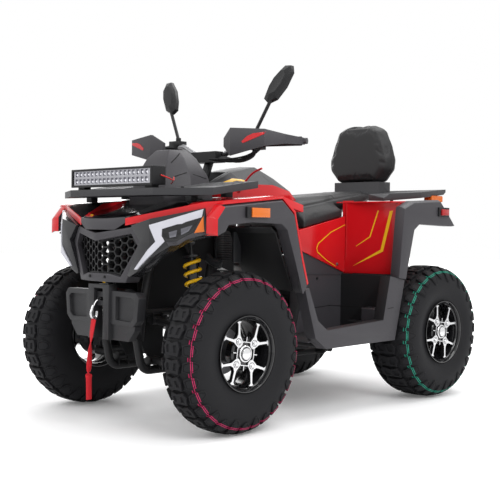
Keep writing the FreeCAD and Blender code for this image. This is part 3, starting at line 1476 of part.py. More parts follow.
# Rear rack: one moulding with two arms beside the seat, lashing slots and a raised tail.
rear_rack_half = 400
rear_rack_tail_half = 372
rear_rack_front = 324
rear_rack_sheet = 26
arm_in = 262
rear_slot_length = 150
rack_toe_share = 1.3
rr_outline = [
    ("rear_rack_half", "rear_rack_front"), ("rear_rack_half", "rear_rack_knee"), ("rear_rack_tail_half", "rear_rack_rear"),
]
rr_inner = [("arm_in - slot_width", "seat_rear + slot_width"), ("arm_in", "seat_rear - slot_width * 3"),
            ("arm_in + slot_width", "rear_rack_front + slot_width * 2")]
rr_plan_points = rr_inner + rr_outline
rr_full = rr_plan_points + [(f"-({across})", along) for across, along in reversed(rr_plan_points)]


def rear_slots():
    rings = []
    for step in range(3):
        start = f"seat_rear + {2 * step + 4} * slot_width"
        rings.append([("arm_in / 3", start), ("arm_in", start), ("arm_in", f"{start} + slot_width"),
                      ("arm_in / 3", f"{start} + slot_width")])
    rings.append([("rear_rack_half - slot_width * 4", "rear_rack_knee - rear_slot_length"),
                  ("rear_rack_half - slot_width", "rear_rack_knee - rear_slot_length / 4"),
                  ("rear_rack_half - slot_width * 4", "rear_rack_knee - rear_slot_length / 4")])
    return rings


rear_left = rear_slots()
rear_right = [[(f"-({across})", along) for across, along in ring] for ring in rear_left]
rr_plan = prism("rr_plan", "XY_Plane", [rr_full] + rear_left + rear_right, "body_overrun",
                "rear_rack_low - body_overrun / 2")
rr_side = wide_prism("rr_side", "YZ_Plane", [[
    ("rear_rack_front", "rear_rack_low + seat_gap"), ("rear_rack_knee", "rear_rack_low + rear_rack_rise / 2"),
    ("rear_rack_rear - slot_width", "rear_rack_low + rear_rack_rise"),
    ("rear_rack_rear", "rear_rack_low + rear_rack_rise + rear_rack_sheet / 2"),
    ("rear_rack_rear", "rear_rack_low + rear_rack_rise + rear_rack_sheet"),
    ("rear_rack_knee", "rear_rack_low + rear_rack_rise / 2 + rear_rack_sheet"),
    ("rear_rack_front + slot_width * 2", "rear_rack_low + rear_rack_sheet * rack_toe_share"),
    ("rear_rack_front", "rear_rack_low + rear_rack_sheet / 2")]], "2 * rear_rack_half")

# Backrest: a bracket rising from the rack and the pad on it.
bracket_half = 134
bracket_depth = 90
bracket_along = 684
pad_half = 187
pad_tall = 270
pad_foot_up = 968
pad_depth = 84
bracket_top = "(pad_foot_up - seat_gap)"
rack_top_up = "(rear_rack_low + rear_rack_rise / 2 + rear_rack_sheet / 2)"
bracket = block("bracket", "2 * bracket_half", "bracket_depth", f"{bracket_top} - {rack_top_up}", "0", "bracket_along",
                f"({bracket_top} + {rack_top_up}) / 2")
keep("rear_rack", fused("rear_rack", [common("rack_moulding", [rr_plan, rr_side]), bracket]))
pad_ring_shares = [(-0.7, 0), (0.7, 0), (0.97, 0.22), (1, 0.4), (0.86, 0.7), (0.68, 0.93), (0.45, 1), (-0.45, 1),
                   (-0.68, 0.93), (-0.86, 0.7), (-1, 0.4), (-0.97, 0.22)]
pad_back_shares = (0.94, 0.97)
pad_front_shares = (0.9, 0.94)
pad_front_rise_share = 0.02


def pad_section(shares, foot="pad_foot_up"):
    """The backrest's outline, its width and height taken in by two shares."""
    return spread(pad_ring_shares, f"(pad_half * {shares[0]})", f"(pad_tall * {shares[1]})", "0", foot)


back_pad = body("back_pad")
loft(back_pad, "XZ_Plane", [
    ("-bracket_along - pad_depth / 2", pad_section(pad_back_shares)),
    ("-bracket_along", pad_section((1, 1))),
    ("-bracket_along + pad_depth / 2",
     pad_section(pad_front_shares, "(pad_foot_up + pad_tall * pad_front_rise_share)"))])
keep("backrest_pad", back_pad)

# Front guard: two wings, skid panels and a centre hoop round the winch.
guard_half = 222
guard_up = 503
guard_drop = 123
guard_centre = 62
hoop_in = 28
guard_hoop_up = 524
hoop_low = 322
hoop_ahead = 272
hoop_depth = 40
skid_low = 322
skid_half = 196
skid_side_share = 0.98
skid_foot_share = 0.8
guard_recess = 16
recess_shares = [(0.4, 0.84), (0.84, 0.83), (0.9, 0.74), (0.87, 0.24), (0.79, 0.12), (0.4, 0.14)]
wing_shares = [(0.25, 1), (0.93, 0.98), (1, 0.82), (0.96, 0.16), (0.86, -0.02), (0.25, 0)]
guard_wing = prism("guard_wing", "XZ_Plane",
                   [spread(wing_shares, "guard_half", "guard_drop", "0", "guard_up - guard_drop")],
                   "guard_depth", "wheel_base / 2 + guard_ahead - guard_depth")
skid = prism("skid", "XZ_Plane", [[
    ("guard_centre", "guard_up - guard_drop"), ("skid_half", "guard_up - guard_drop"),
    ("skid_half * skid_side_share", "skid_low + guard_drop / 3"),
    ("skid_half * skid_foot_share", "skid_low"), ("guard_centre", "skid_low")]],
    "guard_depth * skid_foot_share", "wheel_base / 2 + guard_ahead - guard_depth")
hoop = prism("hoop", "XZ_Plane", [[
    ("hoop_in", "hoop_low"), ("guard_centre", "hoop_low"), ("guard_centre", "guard_hoop_up"),
    ("0", "guard_hoop_up"),
    ("0", "guard_hoop_up - hoop_in / 2"), ("hoop_in", "guard_hoop_up - hoop_in / 2")]],
    "hoop_depth", "wheel_base / 2 + hoop_ahead - hoop_depth")
recess = prism("recess", "XZ_Plane", [spread(recess_shares, "guard_half", "guard_drop", "0", "guard_up - guard_drop")],
               "guard_depth", "wheel_base / 2 + guard_ahead - guard_recess")
half_guard = fused("half_guard", [less("hollow_wing", guard_wing, recess), skid, hoop])
keep("front_guard", fused("front_guard", [half_guard, other_side(half_guard, "half_guard_right")]))

# Winch on its plate, with the fairlead in the hoop's window, its hook and the pull strap.
winch_length = 150
fairlead_tall = 52
fairlead_depth = 12
fairlead_up = 470
rope_diameter = 6
hook_wire = 11
hook_ahead = 294
hook_up = 440
hook_drop = 40
hook_width = 30
strap_thickness = 4
drum = rod("drum", "winch_diameter / 2", "winch_length", Vector(1, 0, 0), "-winch_length / 2",
           f"{front_along} - hoop_knee - winch_diameter / 2", "winch_foot_up + winch_diameter / 2")
fairlead = block("fairlead", "2 * (hoop_in - seat_gap)", "fairlead_depth", "fairlead_tall", "0",
                 f"{front_along} - hoop_ahead + hoop_depth / 2", "fairlead_up")
fairlead_slot = block("fairlead_slot", "hoop_in", "fairlead_depth * 2", "fairlead_tall / 4", "0",
                      f"{front_along} - hoop_ahead + hoop_depth / 2", "fairlead_up")
keep("winch", gathered("winch", [drum, less("fairlead_plate", fairlead, fairlead_slot)]))


hook_shares = (0.55, 0.6, 0.4)


def hook_shape():
    """Rope end, thimble and the open hook below it."""
    ahead = front_y - hook_ahead
    up, drop, wide = hook_up, hook_drop, hook_width
    drum_front = front_y - hoop_knee - winch_diameter - seat_gap
    rope = tube([(0, drum_front, fairlead_up), (0, front_y - hoop_ahead - rope_diameter, fairlead_up),
                 (0, ahead, up)], rope_diameter / 2, hook_width)
    shank, back, tip = hook_shares
    bend_points = [(0, ahead, up + hook_wire / 2), (0, ahead - hook_wire, up - drop * shank),
                   (0, ahead - hook_wire / 2, up - drop), (0, ahead + wide / 2, up - drop),
                   (0, ahead + wide * back, up - drop * tip)]
    return rope.fuse(tube(bend_points, hook_wire / 2, hook_wire))


keep("winch_hook", solid("winch_hook", hook_shape()))
strap_rolled_radius = strap_thickness * 1.5
strap_route = [(0, -903, 394.2), (1, -911, 356), (3, -918, 310), (1, -921, 255), (-2, -922, 200), (0, -922, 148),
               (1, -922, 100)]


def cord_tube(points, radius):
    """A round cord: each arc is as large as its two runs allow, and its radius is printed."""
    path = tube_path([Vector(*point) for point in points], None)
    bends = [edge.Curve.Radius for edge in path.Edges if isinstance(edge.Curve, Part.Circle)]
    print("cord arcs, radii in mm:", ", ".join(f"{bend:.0f}" for bend in bends))
    return tube(points, radius, None)


keep("winch_strap", solid("winch_strap", cord_tube(strap_route, strap_rolled_radius)))

# Steering: raked stem, bar, grips, guards, mirrors and switch gear.
bar_diameter = 24
bar_rise = 48
bar_knee_across = 70
bar_bend_across = 168
bar_end_across = 418
bar_sweep = 86
grip_diameter = 36
grip_length = 160
pad_across = 73
pad_ahead = 56
bar_pad_tall = 44
pitman_arm = 40
pitman_thickness = 10
tie_rod_diameter = 10
tie_eye_diameter = 36
tie_eye_height = 16
tie_free_play = 6
tie_lift = 5
pod_switch_long = 62
pod_switch_wide = 46
pod_switch_tall = 58
lever_diameter = 12
lever_ahead = 52
head, foot, stem_way = stem_head, stem_foot, stem_line
pin_root = foot + Vector(0, stem_way.z, -stem_way.y) * pitman_arm
bar_radius = bar_diameter / 2
bar_tip = Vector(bar_end_across, head.y + bar_sweep, head.z + bar_rise)
bar_bend = Vector(bar_bend_across, head.y, head.z + bar_rise)
grip_way = (bar_bend - bar_tip).normalize()
tie_pin = tie_pin_diameter / 2


def pitman_shape():
    """The plate at the stem's foot with one pin for both tie rods."""
    half = stem_diameter / 2
    arm_way = Vector(0, stem_way.z, -stem_way.y)
    across = Vector(half, 0, 0)
    corners = [foot - arm_way * half - across, foot - arm_way * half + across,
               pin_root + arm_way * half + across / 2, pin_root + arm_way * half - across / 2]
    lift = stem_way * (-pitman_thickness / 2)
    ring = Part.makePolygon([corner + lift for corner in corners + corners[:1]])
    plate = Part.Face(ring).extrude(stem_way * pitman_thickness)
    reach = pitman_thickness / 2 + tie_eye_height + 2 * pin_gap
    return plate.fuse(Part.makeCylinder(tie_pin, 2 * reach, pin_root - stem_way * reach, stem_way))


bar_pad_drop_share = 0.6


def handlebar_shape():
    bar_points = [tuple(bar_tip), tuple(bar_bend), (bar_knee_across, head.y, head.z)]
    points = bar_points + [(-across, along, up) for across, along, up in reversed(bar_points)]
    stem = bar(head, foot, stem_diameter / 2)
    bar_pad = Part.makeBox(pad_across * 2, pad_ahead, bar_pad_tall,
                           head - Vector(pad_across, pad_ahead - bar_radius, bar_pad_tall * bar_pad_drop_share))
    return tube(points, bar_radius, bar_diameter * 2).fuse([stem, bar_pad, pitman_shape()])


keep("handlebar", solid("handlebar", handlebar_shape()))
grip_start = bar_tip + grip_way * seat_gap
grip_bore = Part.makeCylinder(bar_radius + seat_gap, grip_length, grip_start, grip_way)
grip = Part.makeCylinder(grip_diameter / 2, grip_length, grip_start, grip_way).cut(grip_bore)
keep("grips", solid("grips", Part.makeCompound([grip, mirrored(grip)])))


switch_ahead_share = 0.7
lever_ahead_share = 0.6


def control_shape():
    """Switch box and reservoir on the bar, with the brake lever ahead of the grip."""
    box_end = grip_start + grip_way * (grip_length + seat_gap)
    long, wide, tall = pod_switch_long, pod_switch_wide, pod_switch_tall
    box_corner = Vector(box_end.x - long, box_end.y - wide * switch_ahead_share, box_end.z - tall / 2)
    box = Part.makeBox(long, wide, tall, box_corner)
    knuckle_at = Vector(box_end.x - long / 2, box_end.y - wide * lever_ahead_share, box_end.z)
    lever = tube([knuckle_at, knuckle_at + Vector(long, -lever_ahead, 0),
                  Vector(bar_end_across - lever_ahead, bar_tip.y - lever_ahead, box_end.z)],
                 lever_diameter / 2, lever_ahead)
    gap = seat_gap
    clear = Part.makeCylinder(bar_radius + gap, bar_end_across, bar_tip, grip_way)
    clear = clear.fuse(Part.makeCylinder(grip_diameter / 2 + gap, grip_length + 2 * gap, bar_tip, grip_way))
    return box.fuse(lever).cut(clear)


control = control_shape()
keep("controls", solid("controls", Part.makeCompound([control, mirrored(control)])))

hand_corner_across = 412
hand_corner_ahead = 104
hand_low = 1048
hand_tall = 80
guard_shell = 7
hand_ring_shares = [(0.44, 1, 0.1, 0.5), (0.58, 1.2, -0.4, 0.95), (0.96, 0.94, 0, 0.8), (1.05, 0.2, 0.15, 0.6),
                    (1.05, -0.86, 0.2, 0.52)]


def hand_guard_shape():
    """A shell swept past the grip: wide ahead of the fingers, narrow at both mounts."""
    rings = []
    shell = guard_shell
    for across, ahead, low, high in hand_ring_shares:
        outer = Vector(across * hand_corner_across, head.y - ahead * hand_corner_ahead, 0)
        inner = outer + Vector(-shell, shell, 0)
        z_low = Vector(0, 0, hand_low + low * hand_tall)
        z_high = Vector(0, 0, hand_low + high * hand_tall)
        rings.append(Part.makePolygon([outer + z_low, outer + z_high, inner + z_high, inner + z_low, outer + z_low]))
    shape = Part.makeLoft(rings, True, True)
    mount = bar(bar_tip - grip_way * seat_gap, bar_tip - grip_way * bar_diameter, bar_radius)
    return shape.fuse(mount).removeSplitter()


guard_left = hand_guard_shape()
keep("hand_guards", solid("hand_guards", Part.makeCompound([guard_left, mirrored(guard_left)])))

mirror_foot_across = 228
mirror_foot_along = 298
mirror_knee_across = 292
mirror_knee_along = 276
mirror_knee_up = 1226
mirror_stem_diameter = 14
mirror_boss_diameter = 22
mirror_long = 172
mirror_wide = 84
mirror_deep = 30
mirror_lean = 0.42
mirror_ring_shares = [(-0.42, 0.02), (-0.1, -0.02), (0.32, 0.16), (0.5, 0.5), (0.46, 0.86), (0.2, 1), (-0.16, 0.94),
                      (-0.44, 0.6), (-0.5, 0.26)]


def mirror_shape():
    """A stem from the switch box and a dished head that faces the rider."""
    knee = Vector(mirror_knee_across, -mirror_knee_along, mirror_knee_up)
    start = Vector(mirror_foot_across, -mirror_foot_along, bar_bend.z + pod_switch_tall / 2 + seat_gap)
    long_way = Vector(mirror_lean, 0.3, 1).normalize()
    wide_way = Vector(1, -0.1, -mirror_lean).normalize()
    out_way = wide_way.cross(long_way)
    rings = []
    for depth, scale in ((0, 1), (0.5, 0.96), (1, 0.62)):
        middle = knee + long_way * (mirror_long / 2) + out_way * (depth * mirror_deep)
        points = [middle + wide_way * (a * mirror_wide * scale) + long_way * ((b - 0.5) * mirror_long * scale)
                  for a, b in mirror_ring_shares]
        rings.append(Part.makePolygon(points + points[:1]))
    head_shape = Part.makeLoft(rings, True, True)
    boss = Part.makeCylinder(mirror_boss_diameter / 2, mirror_stem_diameter, start)
    start = start + Vector(0, 0, mirror_stem_diameter / 2)
    socket = knee + long_way * mirror_stem_diameter + out_way * (mirror_deep / 3)
    return joined([head_shape, bar(start, socket, mirror_stem_diameter / 2), boss])


mirror = mirror_shape()
keep("mirrors", solid("mirrors", Part.makeCompound([mirror, mirrored(mirror)])))


def tie_rod_shape(way):
    """A rod from the pitman pin to a ring that floats above the knuckle's pin."""
    half_eye = tie_eye_height / 2
    near = pin_root + stem_way * (way * (pitman_thickness / 2 + pin_gap + half_eye))
    far = Vector(kingpin_across, front_y + steer_arm,
                 hub_z + steer_arm_thickness / 2 + tie_lift + half_eye)
    shape = bar(near, far, tie_rod_diameter / 2)
    outer = tie_eye_diameter / 2
    near_start, far_start = near - stem_way * half_eye, far - Vector(0, 0, half_eye)
    shape = shape.fuse([Part.makeCylinder(outer - tie_free_play, 2 * half_eye, near_start, stem_way),
                        Part.makeCylinder(outer, 2 * half_eye, far_start)])
    near_bore = near - stem_way * (3 * half_eye)
    shape = shape.cut(Part.makeCylinder(tie_pin + pin_gap, 6 * half_eye, near_bore, stem_way))
    return shape.cut(Part.makeCylinder(tie_pin + tie_free_play, 6 * half_eye, far - Vector(0, 0, 3 * half_eye)))


keep("tie_rod_left", solid("tie_rod_left", tie_rod_shape(1)))
keep("tie_rod_right", solid("tie_rod_right", mirrored(tie_rod_shape(-1))))

# Control cables from the switch boxes to the bar pad, and the red tether on the tank.
cable_diameter = 9
tether_diameter = 8
cable_routes = [
    [(238, -302, 1048.6), (238, -303, 1028), (220, -326, 1008), (186, -342, 1000), (146, -348, 1004),
     (106, -347, 1018), (74, -346, 1020)],
    [(222, -298, 1048.6), (222, -299, 1032), (204, -318, 1016), (176, -328, 1009), (140, -334, 1013),
     (104, -338, 1023), (74, -338, 1025)],
]
cables = [cord_tube(route, cable_diameter / 2) for route in cable_routes]
cables += [mirrored(cable) for cable in cables]
keep("cables", solid("cables", Part.makeCompound(cables)))
tether_route = [(189.5, -344, 880), (216, -348, 908), (250, -352, 938), (290, -357, 960), (330, -362, 968)]
keep("tether", solid("tether", cord_tube(tether_route, tether_diameter / 2)))


doc.recompute()
os.makedirs("parts", exist_ok=True)
for made in doc.Objects:
    if {"Invalid", "Error"} & set(made.State):
        raise RuntimeError(f"{made.Label} did not build: {made.State}")
for name, piece in nodes.items():
    if piece.Shape.isNull() or not piece.Shape.isValid() or not piece.Shape.Solids:
        raise RuntimeError(f"{name} is not a valid solid")
for name, piece in nodes.items():
    piece.Shape.exportStep(f"parts/{name}.step")
    box = piece.Shape.BoundBox
    print(f"{name}: {len(piece.Shape.Solids)} solids, x {box.XMin:.0f} {box.XMax:.0f}, "
          f"y {box.YMin:.0f} {box.YMax:.0f}, z {box.ZMin:.0f} {box.ZMax:.0f}")
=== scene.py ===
import math

import bpy
from mathutils import Matrix, Vector
from mathutils.bvhtree import BVHTree


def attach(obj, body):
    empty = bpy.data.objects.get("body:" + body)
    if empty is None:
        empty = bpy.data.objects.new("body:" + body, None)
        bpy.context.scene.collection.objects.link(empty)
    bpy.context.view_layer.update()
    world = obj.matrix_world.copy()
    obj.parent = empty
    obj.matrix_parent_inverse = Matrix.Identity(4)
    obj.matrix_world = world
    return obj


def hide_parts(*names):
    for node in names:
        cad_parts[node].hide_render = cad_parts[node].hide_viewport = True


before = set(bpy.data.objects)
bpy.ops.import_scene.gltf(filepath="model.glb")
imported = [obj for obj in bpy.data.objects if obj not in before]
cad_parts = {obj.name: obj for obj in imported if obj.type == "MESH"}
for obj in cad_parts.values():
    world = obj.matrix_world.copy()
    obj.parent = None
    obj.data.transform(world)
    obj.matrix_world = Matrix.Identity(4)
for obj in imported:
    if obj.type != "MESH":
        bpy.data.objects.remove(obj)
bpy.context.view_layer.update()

# Camera, light and floor
# The quad stands on a pale floor in a white studio. The camera stands low, a
# little over four metres off, at the machine's front left corner.

camera_turn = math.radians(44.49)
camera_dip = math.radians(1.17)
camera_roll = math.radians(0.73)
camera_place = Vector((2.9187, -3.0555, 0.731))
camera_lens = 69.96
sensor_width = 36
lamps = [  # place, the point it looks at, width, power
    ((3.6, -1.2, 3.4), (0, 0, 0.6), 2.6, 100),
    ((-1.4, -4.2, 3.0), (0, -0.3, 0.6), 2.4, 60),
    ((0.2, 1.2, 4.2), (0, 0, 0.6), 3.0, 100),
    ((-3.8, 2.6, 2.4), (0, 0.2, 0.6), 2.2, 50),
]
white = (1, 1, 1, 1)
room_light = 0.8
floor_size = 40
floor_look = {"Base Color": (0.93, 0.93, 0.935, 1), "Roughness": 0.6, "Specular IOR Level": 0.2}
floor_glow = {"From Min": 1.0, "From Max": 3.2, "To Min": 0.10, "To Max": 0.80}  # by the distance in metres


def deselect_all():
    for thing in bpy.context.selected_objects:
        thing.select_set(False)


def feed(tree, fed, inputs):
    """Gives each named input of a node a value, or a link from another node's output."""
    for name, value in inputs.items():
        if isinstance(value, bpy.types.NodeSocket):
            tree.links.new(value, fed.inputs[name])
        else:
            fed.inputs[name].default_value = value


def shader_node(tree, kind, inputs=None, **settings):
    """A new node with its settings and inputs."""
    made = tree.nodes.new("ShaderNode" + kind)
    for name, value in settings.items():
        setattr(made, name, value)
    feed(tree, made, inputs or {})
    return made


def maths(tree, operation, *values):
    """The result of one operation on values and links."""
    return shader_node(tree, "Math", dict(enumerate(values)), operation=operation).outputs[0]


def white_where_seen(tree, lit, seen):
    """Mixes two shaders: the seen one for the camera, mirrors and glass, the lit one for the rest."""
    rays = shader_node(tree, "LightPath").outputs
    direct = maths(tree, "MAXIMUM", rays["Is Camera Ray"], rays["Is Glossy Ray"])
    any_of = maths(tree, "MAXIMUM", direct, rays["Is Transmission Ray"])
    return shader_node(tree, "MixShader", {0: any_of, 1: lit.outputs[0], 2: seen.outputs[0]})


deselect_all()
bpy.ops.object.camera_add()
camera = bpy.context.object
camera.name = "camera"
camera.data.lens = camera_lens
camera.data.sensor_width = sensor_width
camera.matrix_world = (Matrix.Translation(camera_place)
                       @ Matrix.Rotation(camera_turn, 4, "Z")
                       @ Matrix.Rotation(math.pi / 2 - camera_dip, 4, "X")
                       @ Matrix.Rotation(camera_roll, 4, "Z"))
bpy.context.scene.camera = camera

for place, target, width, power in lamps:
    bpy.ops.object.light_add(type="AREA", location=place)
    lamp = bpy.context.object
    lamp.data.shape = "SQUARE"
    lamp.data.size = width
    lamp.data.energy = power
    aim = Vector(target) - Vector(place)
    lamp.rotation_mode = "QUATERNION"
    lamp.rotation_quaternion = aim.to_track_quat("-Z", "Y")

studio = bpy.data.worlds.new("white studio")
studio.use_nodes = True
bpy.context.scene.world = studio
tree = studio.node_tree
tree.nodes.clear()
light = shader_node(tree, "Background", {"Color": white, "Strength": room_light})
backdrop = shader_node(tree, "Background", {"Color": white, "Strength": 1})
shader_node(tree, "OutputWorld", {"Surface": white_where_seen(tree, light, backdrop).outputs[0]})

bpy.ops.mesh.primitive_plane_add(size=floor_size, location=(0, 0, 0))
floor = bpy.context.object
floor.name = "floor"
floor_paint = bpy.data.materials.new("pale floor")
floor_paint.use_nodes = True
tree = floor_paint.node_tree
shader = tree.nodes["Principled BSDF"]
feed(tree, shader, floor_look)
place = shader_node(tree, "TexCoord").outputs["Object"]
distance = shader_node(tree, "VectorMath", {0: place}, operation="LENGTH").outputs["Value"]
fade = shader_node(tree, "MapRange", {"Value": distance, **floor_glow}, interpolation_type="SMOOTHSTEP")
glow = shader_node(tree, "Emission", {"Strength": fade.outputs["Result"]})
both = shader_node(tree, "AddShader", {0: shader.outputs[0], 1: glow.outputs[0]})
seen_by = shader_node(tree, "LightPath").outputs["Is Camera Ray"]
lift = shader_node(tree, "MixShader", {0: seen_by, 1: shader.outputs[0], 2: both.outputs[0]})
feed(tree, tree.nodes["Material Output"], {"Surface": lift.outputs[0]})
floor.data.materials.append(floor_paint)

bpy.context.scene.view_settings.view_transform = "Standard"

# Winch strap
# A flat red webbing tail is sewn to the winch hook and hangs to just above the
# floor. Drivers pull on it to keep their hands off the rope.

strap_route = [(0, -0.903, 0.3942), (0.001, -0.911, 0.356), (0.003, -0.918, 0.310),
               (0.001, -0.921, 0.255), (-0.002, -0.922, 0.200), (0, -0.922, 0.148),
               (0.001, -0.922, 0.100)]
strap_tilts = (0, 10, 45, 25, 5, -5, 0)
strap_width = 0.025
strap_thickness = 0.004
strap_ease_share = 0.3
dust_colour = (0.32, 0.29, 0.25, 1)
grain_height = 0.001
coat_roughness = 0.08


def surface_group():
    """One node group for every finish: fine grain, broad colour drift and dust on upward faces."""
    group = bpy.data.node_groups.new("surface", "ShaderNodeTree")
    for label, kind, start in (("Colour", "NodeSocketColor", (0.5, 0.5, 0.5, 1)),
                               ("Roughness", "NodeSocketFloat", 0.5),
                               ("Grain Size", "NodeSocketFloat", 900),
                               ("Grain Depth", "NodeSocketFloat", 0.1),
                               ("Drift", "NodeSocketFloat", 0.1),
                               ("Dust", "NodeSocketFloat", 0.0)):
        socket = group.interface.new_socket(label, in_out="INPUT", socket_type=kind)
        socket.default_value = start
    for label, kind in (("Colour", "NodeSocketColor"), ("Roughness", "NodeSocketFloat"),
                        ("Normal", "NodeSocketVector")):
        group.interface.new_socket(label, in_out="OUTPUT", socket_type=kind)
    given = group.nodes.new("NodeGroupInput").outputs
    result = group.nodes.new("NodeGroupOutput")
    place = shader_node(group, "TexCoord").outputs["Object"]
    grain = shader_node(group, "TexNoise", {"Vector": place, "Scale": given["Grain Size"], "Detail": 3})
    broad = shader_node(group, "TexNoise", {"Vector": place, "Scale": 7, "Detail": 5}).outputs[0]
    drift = maths(group, "MULTIPLY", maths(group, "SUBTRACT", broad, 0.5), given["Drift"])
    brighter = maths(group, "MULTIPLY_ADD", drift, 2, 1)
    tinted = shader_node(group, "VectorMath", {0: given["Colour"], "Scale": brighter}, operation="SCALE")
    facing = shader_node(group, "NewGeometry").outputs["Normal"]
    upward = shader_node(group, "SeparateXYZ", {0: facing}).outputs["Z"]
    flat = shader_node(group, "MapRange", {"Value": upward, "From Min": 0.3, "From Max": 1.0}).outputs[0]
    dusty = maths(group, "MULTIPLY", maths(group, "MULTIPLY", flat, broad), given["Dust"])
    mix = shader_node(group, "Mix", {"Factor": dusty, "A": tinted.outputs[0], "B": dust_colour},
                      data_type="RGBA")
    bump = shader_node(group, "Bump", {"Distance": grain_height, "Strength": given["Grain Depth"],
                                       "Height": grain.outputs[0]})
    feed(group, result, {"Colour": mix.outputs["Result"], "Normal": bump.outputs[0],
                         "Roughness": maths(group, "MULTIPLY_ADD", drift, 0.6, given["Roughness"])})
    return group


surface = surface_group()


def finish(label, colour, roughness, grain=900, depth=0.1, drift=0.12, dust=0.0, metallic=0.0,
           coat=0.0, specular=0.28):
    """A material whose colour, roughness and grain come from the shared surface group."""
    material = bpy.data.materials.new(label)
    material.use_nodes = True
    tree = material.node_tree
    group = shader_node(tree, "Group", {"Colour": (*colour, 1), "Roughness": roughness, "Grain Size": grain,
                                        "Grain Depth": depth, "Drift": drift, "Dust": dust},
                        node_tree=surface)
    feed(tree, tree.nodes["Principled BSDF"], {
        "Metallic": metallic, "Specular IOR Level": specular, "Coat Weight": coat,
        "Coat Roughness": coat_roughness, "Base Color": group.outputs["Colour"],
        "Roughness": group.outputs["Roughness"], "Normal": group.outputs["Normal"]})
    return material


def routed(label, route, radius=0.0):
    """A NURBS curve with the route's points, in metres, as its control points."""
    data = bpy.data.curves.new(label, "CURVE")
    data.dimensions = "3D"
    spline = data.splines.new("NURBS")
    spline.points.add(len(route) - 1)
    for point, (x, y, z) in zip(spline.points, route):
        point.co = (x, y, z, 1)
    spline.order_u = 3
    spline.use_endpoint_u = True
    spline.resolution_u = 10
    data.bevel_depth = radius
    data.bevel_resolution = 5
    data.use_fill_caps = True
    curve = bpy.data.objects.new(label, data)
    bpy.context.collection.objects.link(curve)
    return curve


def line_of(route):
    """The points that a route's spline passes through."""
    curve = routed("route", route)
    drawn = bpy.data.meshes.new_from_object(curve)
    points = [vertex.co.copy() for vertex in drawn.vertices]
    bpy.data.objects.remove(curve)
    bpy.data.meshes.remove(drawn)
    return points


def length_of(points):
    """The length of a run of points, to the millimetre."""
    return round(sum((b - a).length for a, b in zip(points, points[1:])), 3)


def tape(label, route, width, thickness, turns):
    """A flat strap along a route, as a closed mesh, turned about its own line at each point."""
    half_wide, half_thick, ease = width / 2, thickness / 2, thickness * strap_ease_share
    corners = [(half_wide - ease, -half_thick), (half_wide, 0), (half_wide - ease, half_thick),
               (-half_wide + ease, half_thick), (-half_wide, 0), (-half_wide + ease, -half_thick)]
    profile_data = bpy.data.curves.new("strap profile", "CURVE")
    profile_data.dimensions = "2D"
    outline = profile_data.splines.new("POLY")
    outline.points.add(len(corners) - 1)
    for point, (x, y) in zip(outline.points, corners):
        point.co = (x, y, 0, 1)
    outline.use_cyclic_u = True
    profile = bpy.data.objects.new("strap profile", profile_data)
    bpy.context.collection.objects.link(profile)
    curve = routed(label, route)
    curve.data.bevel_mode = "OBJECT"
    curve.data.bevel_object = profile
    curve.data.twist_mode = "Z_UP"
    for point, turn in zip(curve.data.splines[0].points, turns):
        point.tilt = math.radians(turn)
    bpy.context.view_layer.update()
    ready = curve.evaluated_get(bpy.context.evaluated_depsgraph_get())
    mesh = bpy.data.meshes.new_from_object(ready)
    strap = bpy.data.objects.new(label, mesh)
    bpy.context.collection.objects.link(strap)
    bpy.data.objects.remove(curve)
    bpy.data.objects.remove(profile)
    return strap


def belongs(piece, materials=(), node=None, body_name="chassis"):
    """Gives a finished piece its materials and its body, and hides the node that it stands for."""
    for material in materials:
        piece.data.materials.append(material)
    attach(piece, body_name)
    if node:
        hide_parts(node)


webbing = finish("red webbing", (0.50, 0.012, 0.02), 0.75, grain=1400, depth=0.5)
strap_line = line_of(strap_route)
strap = tape("pull_strap", strap_route, strap_width, strap_thickness, strap_tilts)
belongs(strap, [webbing], "winch_strap")

# Control cables
# The brake hose and the wire of the switch box sag from the bar's controls and
# go back into the bar's middle pad, so they turn with the steering.

cable_radius = 0.0045
cable_routes = {
    "outer": [(0.238, -0.302, 1.0486), (0.238, -0.303, 1.028), (0.220, -0.326, 1.008),
              (0.186, -0.342, 1.000), (0.146, -0.348, 1.004), (0.106, -0.347, 1.018),
              (0.074, -0.346, 1.020)],
    "inner": [(0.222, -0.298, 1.0486), (0.222, -0.299, 1.032), (0.204, -0.318, 1.016),
              (0.176, -0.328, 1.009), (0.140, -0.334, 1.013), (0.104, -0.338, 1.023),
              (0.074, -0.338, 1.025)],
}
hose_rubber = finish("hose rubber", (0.018, 0.018, 0.019), 0.55, grain=700, depth=0.15)
for side, sign in (("left", 1), ("right", -1)):
    for kind, cable_route in cable_routes.items():
        route = [(x * sign, y, z) for x, y, z in cable_route]
        hose = routed(f"cable_{kind}_{side}", route, cable_radius)
        belongs(hose, [hose_rubber], "cables", "steering")
        length_of(line_of(route))

# Stop-switch tether
# A coloured lanyard from the switch by the tank to the rider's wrist clip, here
# hooked over the dash's edge.

tether_radius = 0.004
tether_route = [(0.1895, -0.344, 0.880), (0.216, -0.348, 0.908), (0.250, -0.352, 0.938),
                (0.290, -0.357, 0.960), (0.330, -0.362, 0.968)]
tether = routed("tether_cord", tether_route, tether_radius)
belongs(tether, [webbing], "tether")
length_of(line_of(tether_route))

# Tyres
# Knobbly off-road rubber on a smooth bulged carcass. Each tread block is moulded
# with the carcass, with a fine groove round the shoulder blocks and a dimple in
# the middle ones. Two thin coloured rings are painted round the outer shoulder.

